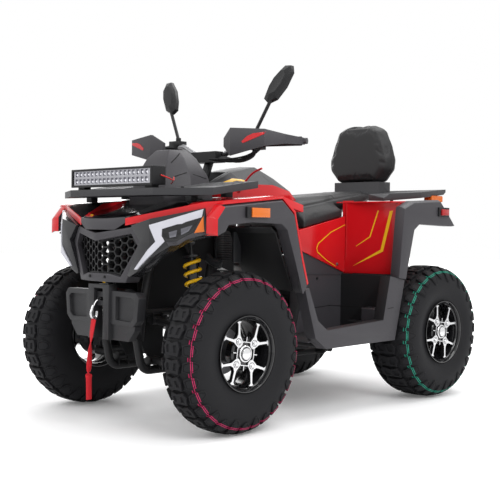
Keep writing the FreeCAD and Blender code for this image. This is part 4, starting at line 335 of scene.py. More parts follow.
wheel_up = 0.292
axle_behind = 0.611
front_across = 0.4335
rear_across = 0.416
front_tyre_half = 0.0875
rear_tyre_half = 0.1195
tread_pitches = 15
tread_radius = 0.285
carcass_steps = 120
carcass_merge = 0.00005
front_tread_turn = math.radians(5)
half_turn = Matrix.Rotation(math.pi, 4, "Z")
carcass_line = [  # share of half the width, radius: from the crown down to the bead
    (0.0, 0.2795), (0.42, 0.2775), (0.66, 0.270), (0.81, 0.259), (0.885, 0.246), (0.93, 0.231),
    (0.95, 0.215), (0.955, 0.198), (0.93, 0.180), (0.89, 0.163), (0.86, 0.150), (0.86, 0.1285)]
block_rise = [(0.0, 0.0122), (0.5, 0.0125), (0.78, 0.010), (1.0, 0.0055), (1.3, 0.0030)]
block_cut_shares = (0.2, 0.42, 0.55, 0.66, 0.74, 0.81, 0.89, 0.98, 1.08)
block_taper = 0.0014
block_edge_drop = 0.0011
block_crown = 0.12
block_root = -0.002
middle_dimple = [(0.009, 0), (0.0022, -0.0045)]  # insets of a block's top: width, depth
shoulder_groove = [(0.0035, 0), (0.0013, -0.0022), (0.0013, 0.0022)]
middle_blocks = [  # corners: share of a pitch along the tread, share of half the width across it
    [(0.06, -0.06), (0.42, 0.05), (0.47, 0.36), (0.30, 0.45), (0.04, 0.34)],
    [(0.56, 0.03), (0.90, -0.08), (0.96, 0.28), (0.78, 0.42), (0.54, 0.36)]]
shoulder_blocks = [
    [(0.10, 0.50), (0.36, 0.55), (0.43, 0.78), (0.38, 1.06), (0.31, 1.20), (0.17, 1.20), (0.10, 1.06),
     (0.05, 0.78)],
    [(0.59, 0.55), (0.86, 0.50), (0.93, 0.74), (0.88, 0.96), (0.80, 1.07), (0.67, 1.07), (0.58, 0.96),
     (0.53, 0.76)]]
ring_radii = (0.2625, 0.2675)
ring_half_wide = 0.0010


def edit_mesh(chosen="DESELECT"):
    """Into edit mode, with nothing or everything selected."""
    bpy.ops.object.mode_set(mode="EDIT")
    bpy.ops.mesh.select_all(action=chosen)


def pick(thing, kind, test):
    """In edit mode, selects the faces, edges or vertices of which the test is true."""
    bpy.ops.mesh.select_all(action="DESELECT")
    bpy.ops.mesh.select_mode(type=kind)
    bpy.ops.object.mode_set(mode="OBJECT")
    group = {"FACE": thing.data.polygons, "EDGE": thing.data.edges, "VERT": thing.data.vertices}[kind]
    for part in group:
        part.select = bool(test(part))
    bpy.ops.object.mode_set(mode="EDIT")


def join(things, label):
    """Makes one object of several, with its place in its mesh."""
    deselect_all()
    for thing in things:
        thing.select_set(True)
    bpy.context.view_layer.objects.active = things[0]
    if len(things) > 1:
        bpy.ops.object.join()
    whole = bpy.context.object
    bpy.ops.object.transform_apply(location=True, rotation=True, scale=True)
    whole.name = label
    whole.data.name = label
    return whole


def copied(thing, matrix, flip=False):
    """A copy with its own mesh, moved by a matrix. A mirrored copy has its faces turned back."""
    twin = thing.copy()
    twin.data = thing.data.copy()
    twin.data.transform(matrix)
    if flip:
        twin.data.flip_normals()
    bpy.context.collection.objects.link(twin)
    return twin


def only(thing):
    """Selects one piece and makes it active."""
    deselect_all()
    thing.select_set(True)
    bpy.context.view_layer.objects.active = thing


def shade(thing, angle=35):
    """Smooth shading up to an angle between faces."""
    only(thing)
    bpy.ops.object.shade_smooth_by_angle(angle=math.radians(angle))


def outlined(label, corners, fill="NGON"):
    """A new piece of one closed outline through the corners."""
    deselect_all()
    bpy.ops.mesh.primitive_circle_add(vertices=len(corners), radius=1, fill_type=fill)
    made = bpy.context.object
    made.name = label
    for vertex, corner in zip(made.data.vertices, corners):
        vertex.co = corner
    return made


def raised(way):
    """Gives the active flat outline a thickness, its faces outwards, and stays in edit mode."""
    edit_mesh("SELECT")
    bpy.ops.mesh.extrude_region_move(TRANSFORM_OT_translate={"value": way})
    bpy.ops.mesh.select_all(action="SELECT")
    bpy.ops.mesh.normals_make_consistent(inside=False)


def spun(label, ring, steps, merge=0.00002):
    """A closed profile (place along the axle, radius) turned about the X axis."""
    made = outlined(label, [(across, 0, radius) for across, radius in ring], "NOTHING")
    edit_mesh("SELECT")
    bpy.ops.mesh.spin(steps=steps, angle=math.tau, center=(0, 0, 0), axis=(1, 0, 0))
    bpy.ops.mesh.select_all(action="SELECT")
    bpy.ops.mesh.remove_doubles(threshold=merge)
    bpy.ops.mesh.normals_make_consistent(inside=False)
    bpy.ops.object.mode_set(mode="OBJECT")
    return made


def cut_through(place, way):
    """In edit mode, cuts all of a piece along a plane."""
    bpy.ops.mesh.select_all(action="SELECT")
    bpy.ops.mesh.bisect(plane_co=place, plane_no=way)


def flat_block(outline, insets, cuts):
    """A tread block before it is bent: one metre tall, with a bevelled and carved top."""
    plate = outlined("block", [(along, across, 0) for along, across in outline])
    raised((0, 0, 1))
    pick(plate, "FACE", lambda face: face.center.z > 0.99)
    bpy.ops.mesh.inset(thickness=block_taper, depth=0.0)
    bpy.ops.transform.translate(value=(0, 0, block_crown))
    for width, depth in insets:
        bpy.ops.mesh.inset(thickness=width, depth=depth)
    for across in cuts:
        cut_through((0, across, 0), (0, 1, 0))
    bpy.ops.object.mode_set(mode="OBJECT")
    return plate


def along_line(line, share):
    """Linear reading of a table of (share, value)."""
    for (a, low), (b, high) in zip(line, line[1:]):
        if share <= b:
            return low + (high - low) * (share - a) / (b - a)
    return line[-1][1]


def carcass_at(across, half_wide):
    """Where the carcass is, and which way it faces, at a run across the tread from the crown."""
    sign = -1 if across < 0 else 1
    run = abs(across)
    points = [Vector((share * half_wide, radius)) for share, radius in carcass_line]
    for a, b in zip(points, points[1:]):
        step = (b - a).length
        if run <= step or b is points[-1]:
            here = a + (b - a) * (run / step)
            way = (b - a).normalized()
            return Vector((here.x * sign, here.y)), Vector((-way.y * sign, way.x))
        run -= step


def block_lift(height, rise):
    """How far a point of a flat block stands off the carcass: at its root, its edge or its top."""
    if height < 0.5:
        return block_root
    if height < 1.05:
        return rise - block_edge_drop - max(0.0, 1.0 - height)
    return rise - (1 + block_crown - height)


def tread_segment(half_wide):
    """The blocks of one pitch, both halves of the tread, bent onto the carcass."""
    long = math.tau / tread_pitches * tread_radius
    cuts = [half_wide * share for share in block_cut_shares]
    blocks = []
    for half, shift in ((1, 0.0), (-1, 0.5)):
        for table, insets in ((middle_blocks, middle_dimple), (shoulder_blocks, shoulder_groove)):
            for corners in table:
                block = flat_block([((u + shift) * long, v * half_wide) for u, v in corners], insets, cuts)
                for vertex in block.data.vertices:
                    angle = vertex.co.x / tread_radius
                    spot, way = carcass_at(vertex.co.y, half_wide)
                    lift = block_lift(vertex.co.z, along_line(block_rise, abs(vertex.co.y) / half_wide))
                    radius = spot.y + way.y * lift
                    vertex.co = ((spot.x + way.x * lift) * half, radius * math.sin(angle),
                                 radius * math.cos(angle))
                if half < 0:
                    block.data.flip_normals()
                blocks.append(block)
    return blocks


def tyre(label, half_wide, material):
    """A whole tyre about the origin, its axle along X."""
    segment = join(tread_segment(half_wide), "segment")
    parts = [copied(segment, Matrix.Rotation(math.tau * k / tread_pitches, 4, "X"))
             for k in range(1, tread_pitches)]
    ring = [(-share, radius) for share, radius in reversed(carcass_line)] + carcass_line[1:]
    carcass = spun("carcass", [(share * half_wide, radius) for share, radius in ring], carcass_steps,
                   carcass_merge)
    whole = join([segment, carcass] + parts, label)
    shade(whole, 32)
    whole.data.materials.append(material)
    return whole


def rubber(label, centre, stripe):
    """Tyre rubber, dull and dusty in its grooves, with the two painted rings of the shoulder."""
    material = finish(label, (0.0105, 0.0105, 0.0120), 0.62, grain=500, depth=0.35, drift=0.25, dust=0.03,
                      specular=0.16)
    tree = material.node_tree
    shader = tree.nodes["Principled BSDF"]
    group = next(made for made in tree.nodes if made.type == "GROUP")
    place = shader_node(tree, "TexCoord").outputs["Object"]
    about_axle = shader_node(tree, "Mapping", {"Vector": place, "Location": (0, -centre[1], -centre[2]),
                                               "Scale": (0, 1, 1)}).outputs[0]
    radius = shader_node(tree, "VectorMath", {0: about_axle}, operation="LENGTH").outputs["Value"]
    rings = [maths(tree, "COMPARE", radius, middle, ring_half_wide) for middle in ring_radii]
    across = shader_node(tree, "SeparateXYZ", {0: place}).outputs["X"]
    outer = maths(tree, "GREATER_THAN", maths(tree, "ABSOLUTE", across), centre[0])
    painted = maths(tree, "MULTIPLY", maths(tree, "MAXIMUM", *rings), outer)
    mix = shader_node(tree, "Mix", {"Factor": painted, "A": group.outputs["Colour"], "B": (*stripe, 1)},
                      data_type="RGBA")
    feed(tree, shader, {"Base Color": mix.outputs["Result"]})
    return material


def on_the_axles(kind, node, front, rear):
    """Puts a front and a rear wheel or tyre on the left hubs, and copies turned about on the right."""
    rear_node = node + "s_rear"
    for piece, across, along, body_name, stands_for in (
            (front, front_across, -axle_behind, "wheel_front_left", node + "_front_left"),
            (copied(front, half_turn), -front_across, -axle_behind, "wheel_front_right",
             node + "_front_right"),
            (rear, rear_across, axle_behind, "wheels_rear", rear_node),
            (copied(rear, half_turn), -rear_across, axle_behind, "wheels_rear", rear_node)):
        piece.data.transform(Matrix.Translation((across, along, wheel_up)))
        piece.name = "_".join(("front" if along < 0 else "rear", kind, "left" if across > 0 else "right"))
        belongs(piece, node=stands_for, body_name=body_name)


front_rubber = rubber("front tyre rubber", (front_across, -axle_behind, wheel_up), (0.45, 0.02, 0.10))
rear_rubber = rubber("rear tyre rubber", (rear_across, axle_behind, wheel_up), (0.02, 0.28, 0.19))
front_tyre = tyre("tyre_left", front_tyre_half, front_rubber)
front_tyre.data.transform(Matrix.Rotation(front_tread_turn, 4, "X"))
rear_tyre = tyre("tyre_rear_left", rear_tyre_half, rear_rubber)
on_the_axles("tyre", "tyre", front_tyre, rear_tyre)

# Wheels
# Cast alloy: a gloss black barrel and four forked spokes whose front faces are
# machined bright, a bolt well with a nut at each fork, a bright cap on the hub.

wheel_black = finish("wheel gloss black", (0.008, 0.008, 0.009), 0.18, grain=300, depth=0.02, coat=0.6)
bright_edge = finish("machined alloy", (0.78, 0.78, 0.79), 0.22, grain=1500, depth=0.08, drift=0.05,
                     metallic=1.0)
front_wheel_half = 0.088
rear_wheel_half = 0.120
bead_share = 0.88
bead_lip = 0.0045
barrel_line = [  # from the outer face inwards, radius
    (0.000, 0.1395), (0.000, 0.1335), (0.004, 0.1310), (0.013, 0.1290), (0.018, 0.1240), (0.028, 0.1225),
    (0.034, 0.1180), (0.070, 0.1165)]
barrel_wall = 0.0035
barrel_steps = 96
hub_steps = 48
well_steps = 24
spoke_half_outline = [  # across, out from the middle, in metres
    (0.0, 0.034), (0.009, 0.035), (0.0165, 0.043), (0.0185, 0.056), (0.0205, 0.070), (0.0430, 0.1035),
    (0.0560, 0.1050), (0.0425, 0.1165), (0.0340, 0.1185), (0.0345, 0.1085), (0.0130, 0.080), (0.0, 0.0745)]
spoke_count = 4
spoke_turn = math.radians(36.5)
spoke_depth = 0.016
spoke_ease = 0.0012
face_inset = 0.014
bolt_circle = 0.057
nut_radius = 0.0082
nut_half = 0.006
nut_ease = 0.0010
well_line = [  # these profiles run along the axle from the spokes' face, radius
    (-0.014, 0.0), (-0.014, 0.0125), (0.0008, 0.0125), (0.0008, 0.0108), (-0.004, 0.0100), (-0.004, 0.0)]
rib_outline = [(-0.0016, 0.040), (0.0016, 0.040), (0.0016, 0.060), (-0.0016, 0.060)]
rib_turn = math.radians(45)
rib_sink = 0.001
hub_line = [(-0.045, 0.018), (-0.045, 0.056), (-0.012, 0.060), (-0.008, 0.056), (-0.006, 0.018)]
hub_ring_radius = 0.0465
hub_ring_depth = 0.012
hub_ring_proud = 0.0005
hub_ring_insets = [(0.0030, 0), (0.0015, -0.006)]
cap_line = [(-0.008, 0.0), (-0.008, 0.0300), (0.0015, 0.0305), (0.003, 0.0290), (0.003, 0.0255),
            (0.001, 0.0245), (0.001, 0.0225), (0.0075, 0.0205), (0.0095, 0.0170), (0.0100, 0.0)]
cap_groove = (0.0225, 0.0250)  # the radii between which the cap stays black


def applied(thing, kind, **settings):
    """Puts a modifier on a piece and applies it."""
    bpy.context.view_layer.objects.active = thing
    modifier = thing.modifiers.new("shape", kind)
    for name, value in settings.items():
        setattr(modifier, name, value)
    bpy.ops.object.modifier_apply(modifier=modifier.name)


def eased(thing, width, segments=1, angle=30):
    """Rounds the sharp edges of a piece."""
    applied(thing, "BEVEL", width=width, segments=segments, limit_method="ANGLE",
            angle_limit=math.radians(angle))


def prism_along_x(label, outline, low, high, bevel=0.0008):
    """A plate from an outline in the YZ plane, between two places along X, with eased edges."""
    made = outlined(label, [(low, along, up) for along, up in outline])
    raised((high - low, 0, 0))
    bpy.ops.object.mode_set(mode="OBJECT")
    if bevel:
        eased(made, bevel)
    return made


def polygon(count, radius, start=0.0, up=0.0):
    """The corners of a regular polygon, the first one turned by a share of a side."""
    angles = [(k + start) * math.tau / count for k in range(count)]
    return [(radius * math.cos(angle), up + radius * math.sin(angle)) for angle in angles]


def second_material(thing, test):
    """Gives the faces of which the test is true the second material."""
    for face in thing.data.polygons:
        if test(face):
            face.material_index = 1


def two_tone(piece, bright=None):
    """Gives a part of a wheel its black and, where a test is true, its machined finish."""
    for material in (wheel_black, bright_edge):
        piece.data.materials.append(material)
    if bright:
        second_material(piece, bright)
    return piece


def outward(part):
    """True for a face that looks away from the machine."""
    return part.normal.x > 0.9


def wheel(label, half_wide):
    """A wheel about the origin, its outer face towards +X."""
    edge = bead_share * half_wide + bead_lip
    face = edge - face_inset
    skin = [(edge - inset, radius) for inset, radius in barrel_line]
    skin += [(-edge + inset, radius) for inset, radius in reversed(barrel_line)]
    back = [(across, radius + barrel_wall) for across, radius in reversed(skin[1:-1])]
    barrel = two_tone(spun("barrel", skin + back, barrel_steps))

    def turned(name, line, steps, bright=None):
        return two_tone(spun(name, [(face + inset, radius) for inset, radius in line], steps), bright)

    outline = spoke_half_outline + [(-across, up) for across, up in reversed(spoke_half_outline[1:-1])]
    spoke = two_tone(prism_along_x("spoke", outline, face - spoke_depth, face, spoke_ease), outward)
    well = turned("well", well_line, well_steps)
    well.data.transform(Matrix.Translation((0, 0, bolt_circle)))
    hexagon = polygon(6, nut_radius, up=bolt_circle)
    nut = prism_along_x("nut", hexagon, face - nut_half, face + nut_half, nut_ease)
    nut = two_tone(nut, lambda part: True)
    rib = two_tone(prism_along_x("rib", rib_outline, face - spoke_depth, face - rib_sink, 0), outward)
    rib.data.transform(Matrix.Rotation(rib_turn, 4, "X"))
    fork = join([join([spoke, well, nut], "fork"), rib], "fork")
    forks = [fork] + [copied(fork, Matrix.Rotation(math.tau * k / spoke_count, 4, "X"))
                      for k in range(1, spoke_count)]
    hub = turned("hub", hub_line, hub_steps)
    octagon = polygon(8, hub_ring_radius, 0.5)
    ring = prism_along_x("hub ring", octagon, face - hub_ring_depth, face + hub_ring_proud, 0)
    edit_mesh()
    pick(ring, "FACE", outward)
    for width, depth in hub_ring_insets:
        bpy.ops.mesh.inset(thickness=width, depth=depth)
    bpy.ops.object.mode_set(mode="OBJECT")
    two_tone(ring, lambda part: outward(part) and part.center.x > face)
    cap = turned("cap", cap_line, hub_steps,
                 lambda part: not cap_groove[0] <= part.center.yz.length <= cap_groove[1])
    whole = join([barrel] + forks + [hub, ring, cap], label)
    shade(whole, 35)
    whole.data.transform(Matrix.Rotation(spoke_turn - math.pi / 2, 4, "X"))
    return whole


on_the_axles("wheel", "rim", wheel("front_wheel_left", front_wheel_half),
             wheel("rear_wheel_left", rear_wheel_half))

# Spring struts
# Gas dampers with a coil spring of painted yellow wire over each: two at the
# front and one over the swingarm. The dampers show inside the coils.

spring_yellow = finish("spring yellow", (0.82, 0.47, 0.006), 0.28, grain=400, depth=0.05, coat=0.4)
spring_turns = 6.5
spring_steps = 24
spring_end_shares = (0.30, 0.86)
spring_seat = 0.0005
closing_share = 0.018
wire_radius = 0.0066
coil_radius = 0.0285
struts = {  # lower eye, upper eye, in metres
    "left": (Vector((0.290, -0.633, 0.262)), Vector((0.226, -0.633, 0.686))),
    "right": (Vector((-0.290, -0.633, 0.262)), Vector((-0.226, -0.633, 0.686))),
    "rear": (Vector((0, 0.500, 0.352)), Vector((0, 0.372, 0.660))),
}


def to_mesh(curve):
    """Turns a routed curve into a mesh."""
    only(curve)
    bpy.ops.object.convert(target="MESH")
    return curve


for where, (low_eye, high_eye) in struts.items():
    way = (high_eye - low_eye).normalized()
    low = low_eye.lerp(high_eye, spring_end_shares[0]) + way * (wire_radius + spring_seat)
    high = low_eye.lerp(high_eye, spring_end_shares[1]) - way * (wire_radius + spring_seat)
    coil_turn = way.to_track_quat("Z", "Y")
    steps = int(spring_turns * spring_steps)
    route = []
    for step in range(steps + 1):
        share = step / steps
        closing = min(share, 1 - share) * spring_turns
        rise = share + (closing_share * math.sin(math.tau * share) if closing < 1 else 0)
        around = math.tau * spring_turns * share
        round_wire = Vector((coil_radius * math.cos(around), coil_radius * math.sin(around), 0))
        route.append(low.lerp(high, rise) + coil_turn @ round_wire)
    coil = routed("spring_" + where, route, wire_radius)
    coil.data.splines[0].resolution_u = 2
    coil.data.materials.append(spring_yellow)
    belongs(to_mesh(coil), node="springs")

# Frame, arms and steering gear
# Welded steel tube under satin black powder coat. The knuckles are forged alloy;
# axle, hubs and tie rods are machined steel that has dulled a little.

frame_black = finish("frame powder coat", (0.008, 0.008, 0.009), 0.42, grain=1100, depth=0.35, drift=0.2,
                     dust=0.06)
forged = finish("forged alloy", (0.12, 0.12, 0.125), 0.48, grain=350, depth=0.5, metallic=1.0)
dull_steel = finish("machined steel", (0.20, 0.20, 0.21), 0.35, depth=0.2, drift=0.2, metallic=1.0)
damper_black = finish("damper black", (0.006, 0.006, 0.007), 0.28, depth=0.05, coat=0.3)


def paint(material, *names):
    """Gives CAD nodes that stay as they are a finished material."""
    for name in names:
        for material_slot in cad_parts[name].material_slots:
            material_slot.material = material


paint(frame_black, "frame", "frame_ties", "wishbones", "swingarm")
paint(forged, "knuckle_left", "knuckle_right")
paint(dull_steel, "rear_axle", "hub_front_left", "hub_front_right", "tie_rod_left", "tie_rod_right")
paint(damper_black, "dampers")

# Engine and exhaust
# A cast alloy single under the seat, painted black, with cooling fins round the
# leaning barrel, belt-drive covers bolted to its left side, a carburettor and an
# airbox behind its head.

engine_black = finish("engine casting", (0.016, 0.016, 0.018), 0.5, grain=420, depth=0.6, drift=0.3,
                      dust=0.15)
pipe_steel = finish("exhaust steel", (0.22, 0.21, 0.20), 0.33, grain=800, depth=0.2, drift=0.5,
                    metallic=1.0)
bolt_black = finish("bolt black", (0.020, 0.020, 0.021), 0.35, metallic=0.6)
hose_grey = finish("hose grey", (0.028, 0.029, 0.032), 0.42, grain=700, depth=0.2)
mould_merge = 0.0005
mould_soft = 40
mould_corner = 25
flat_angle = math.radians(0.15)
washer_line = [  # along the bolt in metres, radius as a share of the head's
    (-0.001, 0.0), (-0.001, 1.45), (0.0008, 1.45), (0.0016, 1.1), (0.0016, 0.0)]
fin_count = 9
fin_size = (0.262, 0.176, 0.0032)
barrel_low = Vector((0, -0.030, 0.490))
barrel_high = Vector((0, -0.075, 0.606))
cover_places = [(-0.080, 0.335), (0.130, 0.345)]  # along, up
cover_bolt_across = 0.131
cover_bolt_circle = 0.106
cover_bolts = 8
cover_line = [(0.110, 0.0), (0.110, 0.105), (0.128, 0.110), (0.140, 0.104), (0.144, 0.090), (0.141, 0.070),
              (0.146, 0.060), (0.146, 0.034), (0.152, 0.028), (0.152, 0.0)]
head_blocks = [  # the boxes of a piece: size, place, edge, segments
    ((0.130, 0.110, 0.030), (0, -0.072, 0.632), 0.006, 2),
    ((0.110, 0.092, 0.036), (0, -0.072, 0.662), 0.010, 3)]
head_bolt_spots = [(side * 0.054, -0.072 + along, 0.648) for side in (-1, 1) for along in (-0.042, 0.042)]
carburettor_blocks = [((0.070, 0.050, 0.060), (0.008, 0.048, 0.650), 0.010, 3),
                      ((0.052, 0.044, 0.026), (0.008, 0.048, 0.612), 0.008, 2)]
airbox_blocks = [((0.150, 0.150, 0.110), (0, 0.185, 0.700), 0.016, 3),
                 ((0.158, 0.158, 0.010), (0, 0.185, 0.752), 0.004, 2)]
airbox_blocks += [((0.154, 0.004, 0.080), (0, 0.125 + 0.030 * rib, 0.700), 0.001) for rib in range(5)]
intake_route = [(0, -0.020, 0.640), (0.004, 0.020, 0.652), (0.010, 0.065, 0.680), (0.012, 0.110, 0.700)]
intake_radius = 0.024


def node_copy(label, node, merge=0.00002):
    """A CAD node's mesh as a new piece, its loose triangles merged and its flat faces made whole."""
    piece = bpy.data.objects.new(label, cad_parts[node].data.copy())
    bpy.context.collection.objects.link(piece)
    piece.data.materials.clear()
    only(piece)
    if piece.data.has_custom_normals:
        bpy.ops.mesh.customdata_custom_splitnormals_clear()
    edit_mesh("SELECT")
    bpy.ops.mesh.remove_doubles(threshold=merge)
    bpy.ops.mesh.dissolve_limited(angle_limit=flat_angle)
    bpy.ops.object.mode_set(mode="OBJECT")
    return piece


def moulded(label, node, materials, edge=0.002, segments=2, body_name="chassis"):
    """A node's shape with its edges rounded as in a mould."""
    piece = node_copy(label, node, mould_merge)
    eased(piece, edge, segments, mould_corner)
    shade(piece, mould_soft)
    belongs(piece, materials, node, body_name)
    return piece


def repeated(thing, matrices, label):
    """Copies of one piece as one mesh; the piece itself goes."""
    parts = [copied(thing, matrix) for matrix in matrices]
    bpy.data.objects.remove(thing)
    return join(parts, label)


def bolt_heads(label, spots, radius=0.0055, material=bolt_black):
    """Flanged hexagon bolt heads at points, each with the way that it faces."""
    washer = spun("washer", [(along, across * radius) for along, across in washer_line], 20)
    head = join([washer, prism_along_x("head", polygon(6, radius), 0.0010, radius, 0.0006)], "bolt")
    whole = repeated(head, [Matrix.Translation(place)
                            @ Vector(way).to_track_quat("X", "Z").to_matrix().to_4x4()
                            for place, way in spots], label)
    shade(whole, 30)
    belongs(whole, [material])


def pipe(label, route, radius, material, body_name="chassis"):
    """A finished hose, pipe or wire along a route."""
    piece = to_mesh(routed(label, route, radius))
    shade(piece, 60)
    belongs(piece, [material], body_name=body_name)


def block(size, place, edge=0.0, segments=1):
    """A box by its size and its middle, its edges rounded."""
    deselect_all()
    bpy.ops.mesh.primitive_cube_add(size=1, location=(0, 0, 0))
    made = bpy.context.object
    made.data.transform(Matrix.Translation(place) @ Matrix.Diagonal((*size, 1)))
    if edge:
        eased(made, edge, segments)
    return made


def built(label, blocks, material, both=False, soft=None):
    """A finished piece of several boxes, on both sides of the machine or on one."""
    piece = join([block(*sizes) for sizes in blocks], label)
    if both:
        piece = pair_of(piece)
    if soft:
        shade(piece, soft)
    belongs(piece, [material])


def pair_of(piece):
    """The piece and its mirror image on the other side, as one mesh."""
    twin = copied(piece, Matrix.Scale(-1, 4, (1, 0, 0)), True)
    return join([piece, twin], piece.name)


paint(pipe_steel, "exhaust")
moulded("engine_block", "engine", [engine_black], 0.006)
lean = (barrel_high - barrel_low).to_track_quat("Z", "X").to_matrix().to_4x4()
fins = repeated(block(fin_size, (0, 0, 0), 0.0012),
                [Matrix.Translation(barrel_low.lerp(barrel_high, step / (fin_count - 1))) @ lean
                 for step in range(fin_count)], "cooling_fins")
belongs(fins, [engine_black])
covers = repeated(spun("drive_cover", cover_line, 48),
                  [Matrix.Translation((0, along, up)) for along, up in cover_places], "drive_covers")
shade(covers, 30)
belongs(covers, [engine_black])
bolt_heads("drive_cover_bolts", [((cover_bolt_across, along + out, up + rise), (1, 0, 0))
                                 for along, up in cover_places
                                 for out, rise in polygon(cover_bolts, cover_bolt_circle)], 0.0045)
built("cylinder_head", head_blocks, engine_black, soft=35)
bolt_heads("head_bolts", [(spot, (0, 0, 1)) for spot in head_bolt_spots], 0.005)
pipe("intake_pipe", intake_route, intake_radius, hose_grey)
built("carburettor", carburettor_blocks, forged, soft=35)
built("airbox", airbox_blocks, hose_grey, soft=35)

# Oil cooler and hoses
# A finned cooler stands behind the left front strut. Its moulded hose bends down
# beside it, and thin liners close the arch towards the middle of the machine.

liner_black = finish("liner black", (0.007, 0.007, 0.008), 0.55, depth=0.3)
hose_route = [(0.080, -0.44, 0.715), (0.084, -0.44, 0.670), (0.104, -0.44, 0.630), (0.137, -0.44, 0.604),
              (0.172, -0.42, 0.592)]
hose_radius = 0.016
cooler_across = 0.187
cooler_low = 0.615
cooler_fins = 12
cooler_blocks = [((0.094, 0.034, 0.0024), (cooler_across, -0.40, cooler_low + 0.009 * step), 0.0008)
                 for step in range(cooler_fins)]
cooler_blocks += [((0.012, 0.042, 0.118), (cooler_across + end, -0.40, cooler_low + 0.050), 0.003, 2)
                  for end in (-0.050, 0.050)]
liner_line = [(-0.590, 0.800), (-0.590, 0.700), (-0.550, 0.640), (-0.430, 0.600), (-0.300, 0.560),
              (-0.285, 0.800)]
bulkhead_line = [(-0.752, 0.600), (-0.752, 0.330), (-0.700, 0.240), (-0.625, 0.240), (-0.625, 0.420),
                 (-0.460, 0.460), (-0.440, 0.600), (-0.600, 0.700), (-0.720, 0.690)]
pipe("cooler_hose", hose_route, hose_radius, hose_grey)
built("oil_cooler", cooler_blocks, hose_grey, soft=30)
for label, line, low, high in (("inner_liners", liner_line, 0.118, 0.1205),
                               ("bulkhead_plates", bulkhead_line, 0.0655, 0.0690)):
    belongs(pair_of(prism_along_x(label, line, low, high)), [liner_black])

# Grille
# A moulded honeycomb set back in a bevelled grey surround, held by two bolts at
# the notch under it.

panel_grey = finish("moulded grey", (0.038, 0.036, 0.041), 0.46, grain=1300, depth=0.22, drift=0.08,
                    specular=0.35)
grille_black = finish("grille black", (0.010, 0.010, 0.011), 0.4, grain=1300, depth=0.2)
surround_bolt_spots = [(0.045, 0.553), (-0.045, 0.553)]
views = {  # where a ray starts from, its way, and the axes that an outline is given in
    "front": (Vector((0, -3, 0)), Vector((0, 1, 0)), (0, 2)),
    "back": (Vector((0, 3, 0)), Vector((0, -1, 0)), (0, 2)),
    "left": (Vector((3, 0, 0)), Vector((-1, 0, 0)), (1, 2)),
    "top": (Vector((0, 0, 3)), Vector((0, 0, -1)), (0, 1)),
}


def placed(base, axes, drawn):
    """A point with two of its three values drawn."""
    spot = Vector(base)
    spot[axes[0]], spot[axes[1]] = drawn
    return spot


def surface_of(*node_names):
    """The shape of some CAD nodes, for laying thin pieces on it."""
    points, faces = [], []
    for name in node_names:
        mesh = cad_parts[name].data
        start = len(points)
        points += [vertex.co.copy() for vertex in mesh.vertices]
        faces += [[start + number for number in face.vertices] for face in mesh.polygons]
    return BVHTree.FromPolygons(points, faces)


def seats_on(under, view, spots):
    """Where bolts seat on a surface: the point that each ray meets and the way the surface faces."""
    origin, way, axes = views[view]
    hits = [under.ray_cast(placed(origin, axes, drawn), way) for drawn in spots]
    return [(hit[0], hit[1] if hit[1].dot(way) < 0 else -hit[1]) for hit in hits]


moulded("grille_mesh", "grille", [grille_black], 0.0012)
moulded("grille_frame", "grille_surround", [panel_grey], 0.0035, 3)
bolt_heads("surround_bolts", seats_on(surface_of("grille_surround"), "front", surround_bolt_spots), 0.0045)

# Nose
# The bonnet is gloss black with a grey bevelled lip. A small painted chevron, red
# with a yellow stroke, sits on its front.

gloss_black = finish("gloss black", (0.004, 0.004, 0.005), 0.14, grain=200, depth=0.02, coat=0.35,
                     specular=0.3)
paint_yellow = finish("painted yellow", (0.72, 0.40, 0.015), 0.25, grain=300, depth=0.02, coat=0.3)
panel_red = finish("gloss red", (0.52, 0.006, 0.010), 0.22, grain=300, depth=0.02, drift=0.05, coat=0.35,
                   specular=0.25)
facet = 0.02  # how far apart a thin plate is cut so that it follows the surface
paint_facet = 0.03
paint_thickness = 0.0008
plate_sink = 0.0006
plate_corner = 50
plate_soft = 30
search_depth = 2.2
mark_red = [(-0.060, -0.868), (-0.130, -0.850), (-0.150, -0.820), (-0.100, -0.830)]
mark_yellow = [(-0.075, -0.858), (-0.095, -0.853), (-0.118, -0.832), (-0.135, -0.828), (-0.128, -0.822),
               (-0.100, -0.834)]
nose_back = ((0.400, 0.003, 0.090), (0, -0.775, 0.742), 0.001)


def laid_on(label, outline, under, view, rise, step=facet, edge=0.0):
    """A thin plate on a surface, its outline drawn as seen from one side."""
    origin, way, axes = views[view]
    plate = outlined(label, [placed((0, 0, 0), axes, drawn) for drawn in outline])
    edit_mesh()
    for order, axis in enumerate(axes):
        values = [drawn[order] for drawn in outline]
        along = Vector([float(number == axis) for number in range(3)])
        for cut in range(math.floor(min(values) / step) + 1, math.ceil(max(values) / step)):
            cut_through([part * cut * step for part in along], along)
    bpy.ops.mesh.select_all(action="SELECT")
    bpy.ops.mesh.quads_convert_to_tris()
    bpy.ops.object.mode_set(mode="OBJECT")
    for vertex in plate.data.vertices:
        drawn = [vertex.co[axis] for axis in axes]
        start = placed(origin, axes, drawn)
        hit = under.ray_cast(start, way)[0]
        if hit is None:
            hit = placed(under.find_nearest(start + way * search_depth)[0], axes, drawn)
        vertex.co = hit + way * plate_sink
    plate.data.update()
    if sum(face.normal.dot(way) * face.area for face in plate.data.polygons) > 0:
        plate.data.flip_normals()
    applied(plate, "SOLIDIFY", thickness=rise + plate_sink, offset=1)
    if edge:
        eased(plate, edge, 2, plate_corner)
    shade(plate, plate_soft)
    return plate


def stroke(points, widths):
    """The outline of a line with a width at each of its points."""
    left, right = [], []
    for number, (point, wide) in enumerate(zip(points, widths)):
        before = Vector(points[max(number - 1, 0)])
        after = Vector(points[min(number + 1, len(points) - 1)])
        across = (after - before).normalized().orthogonal() * wide / 2
        left.append(tuple(Vector(point) + across))
        right.append(tuple(Vector(point) - across))
    return left + right[::-1]


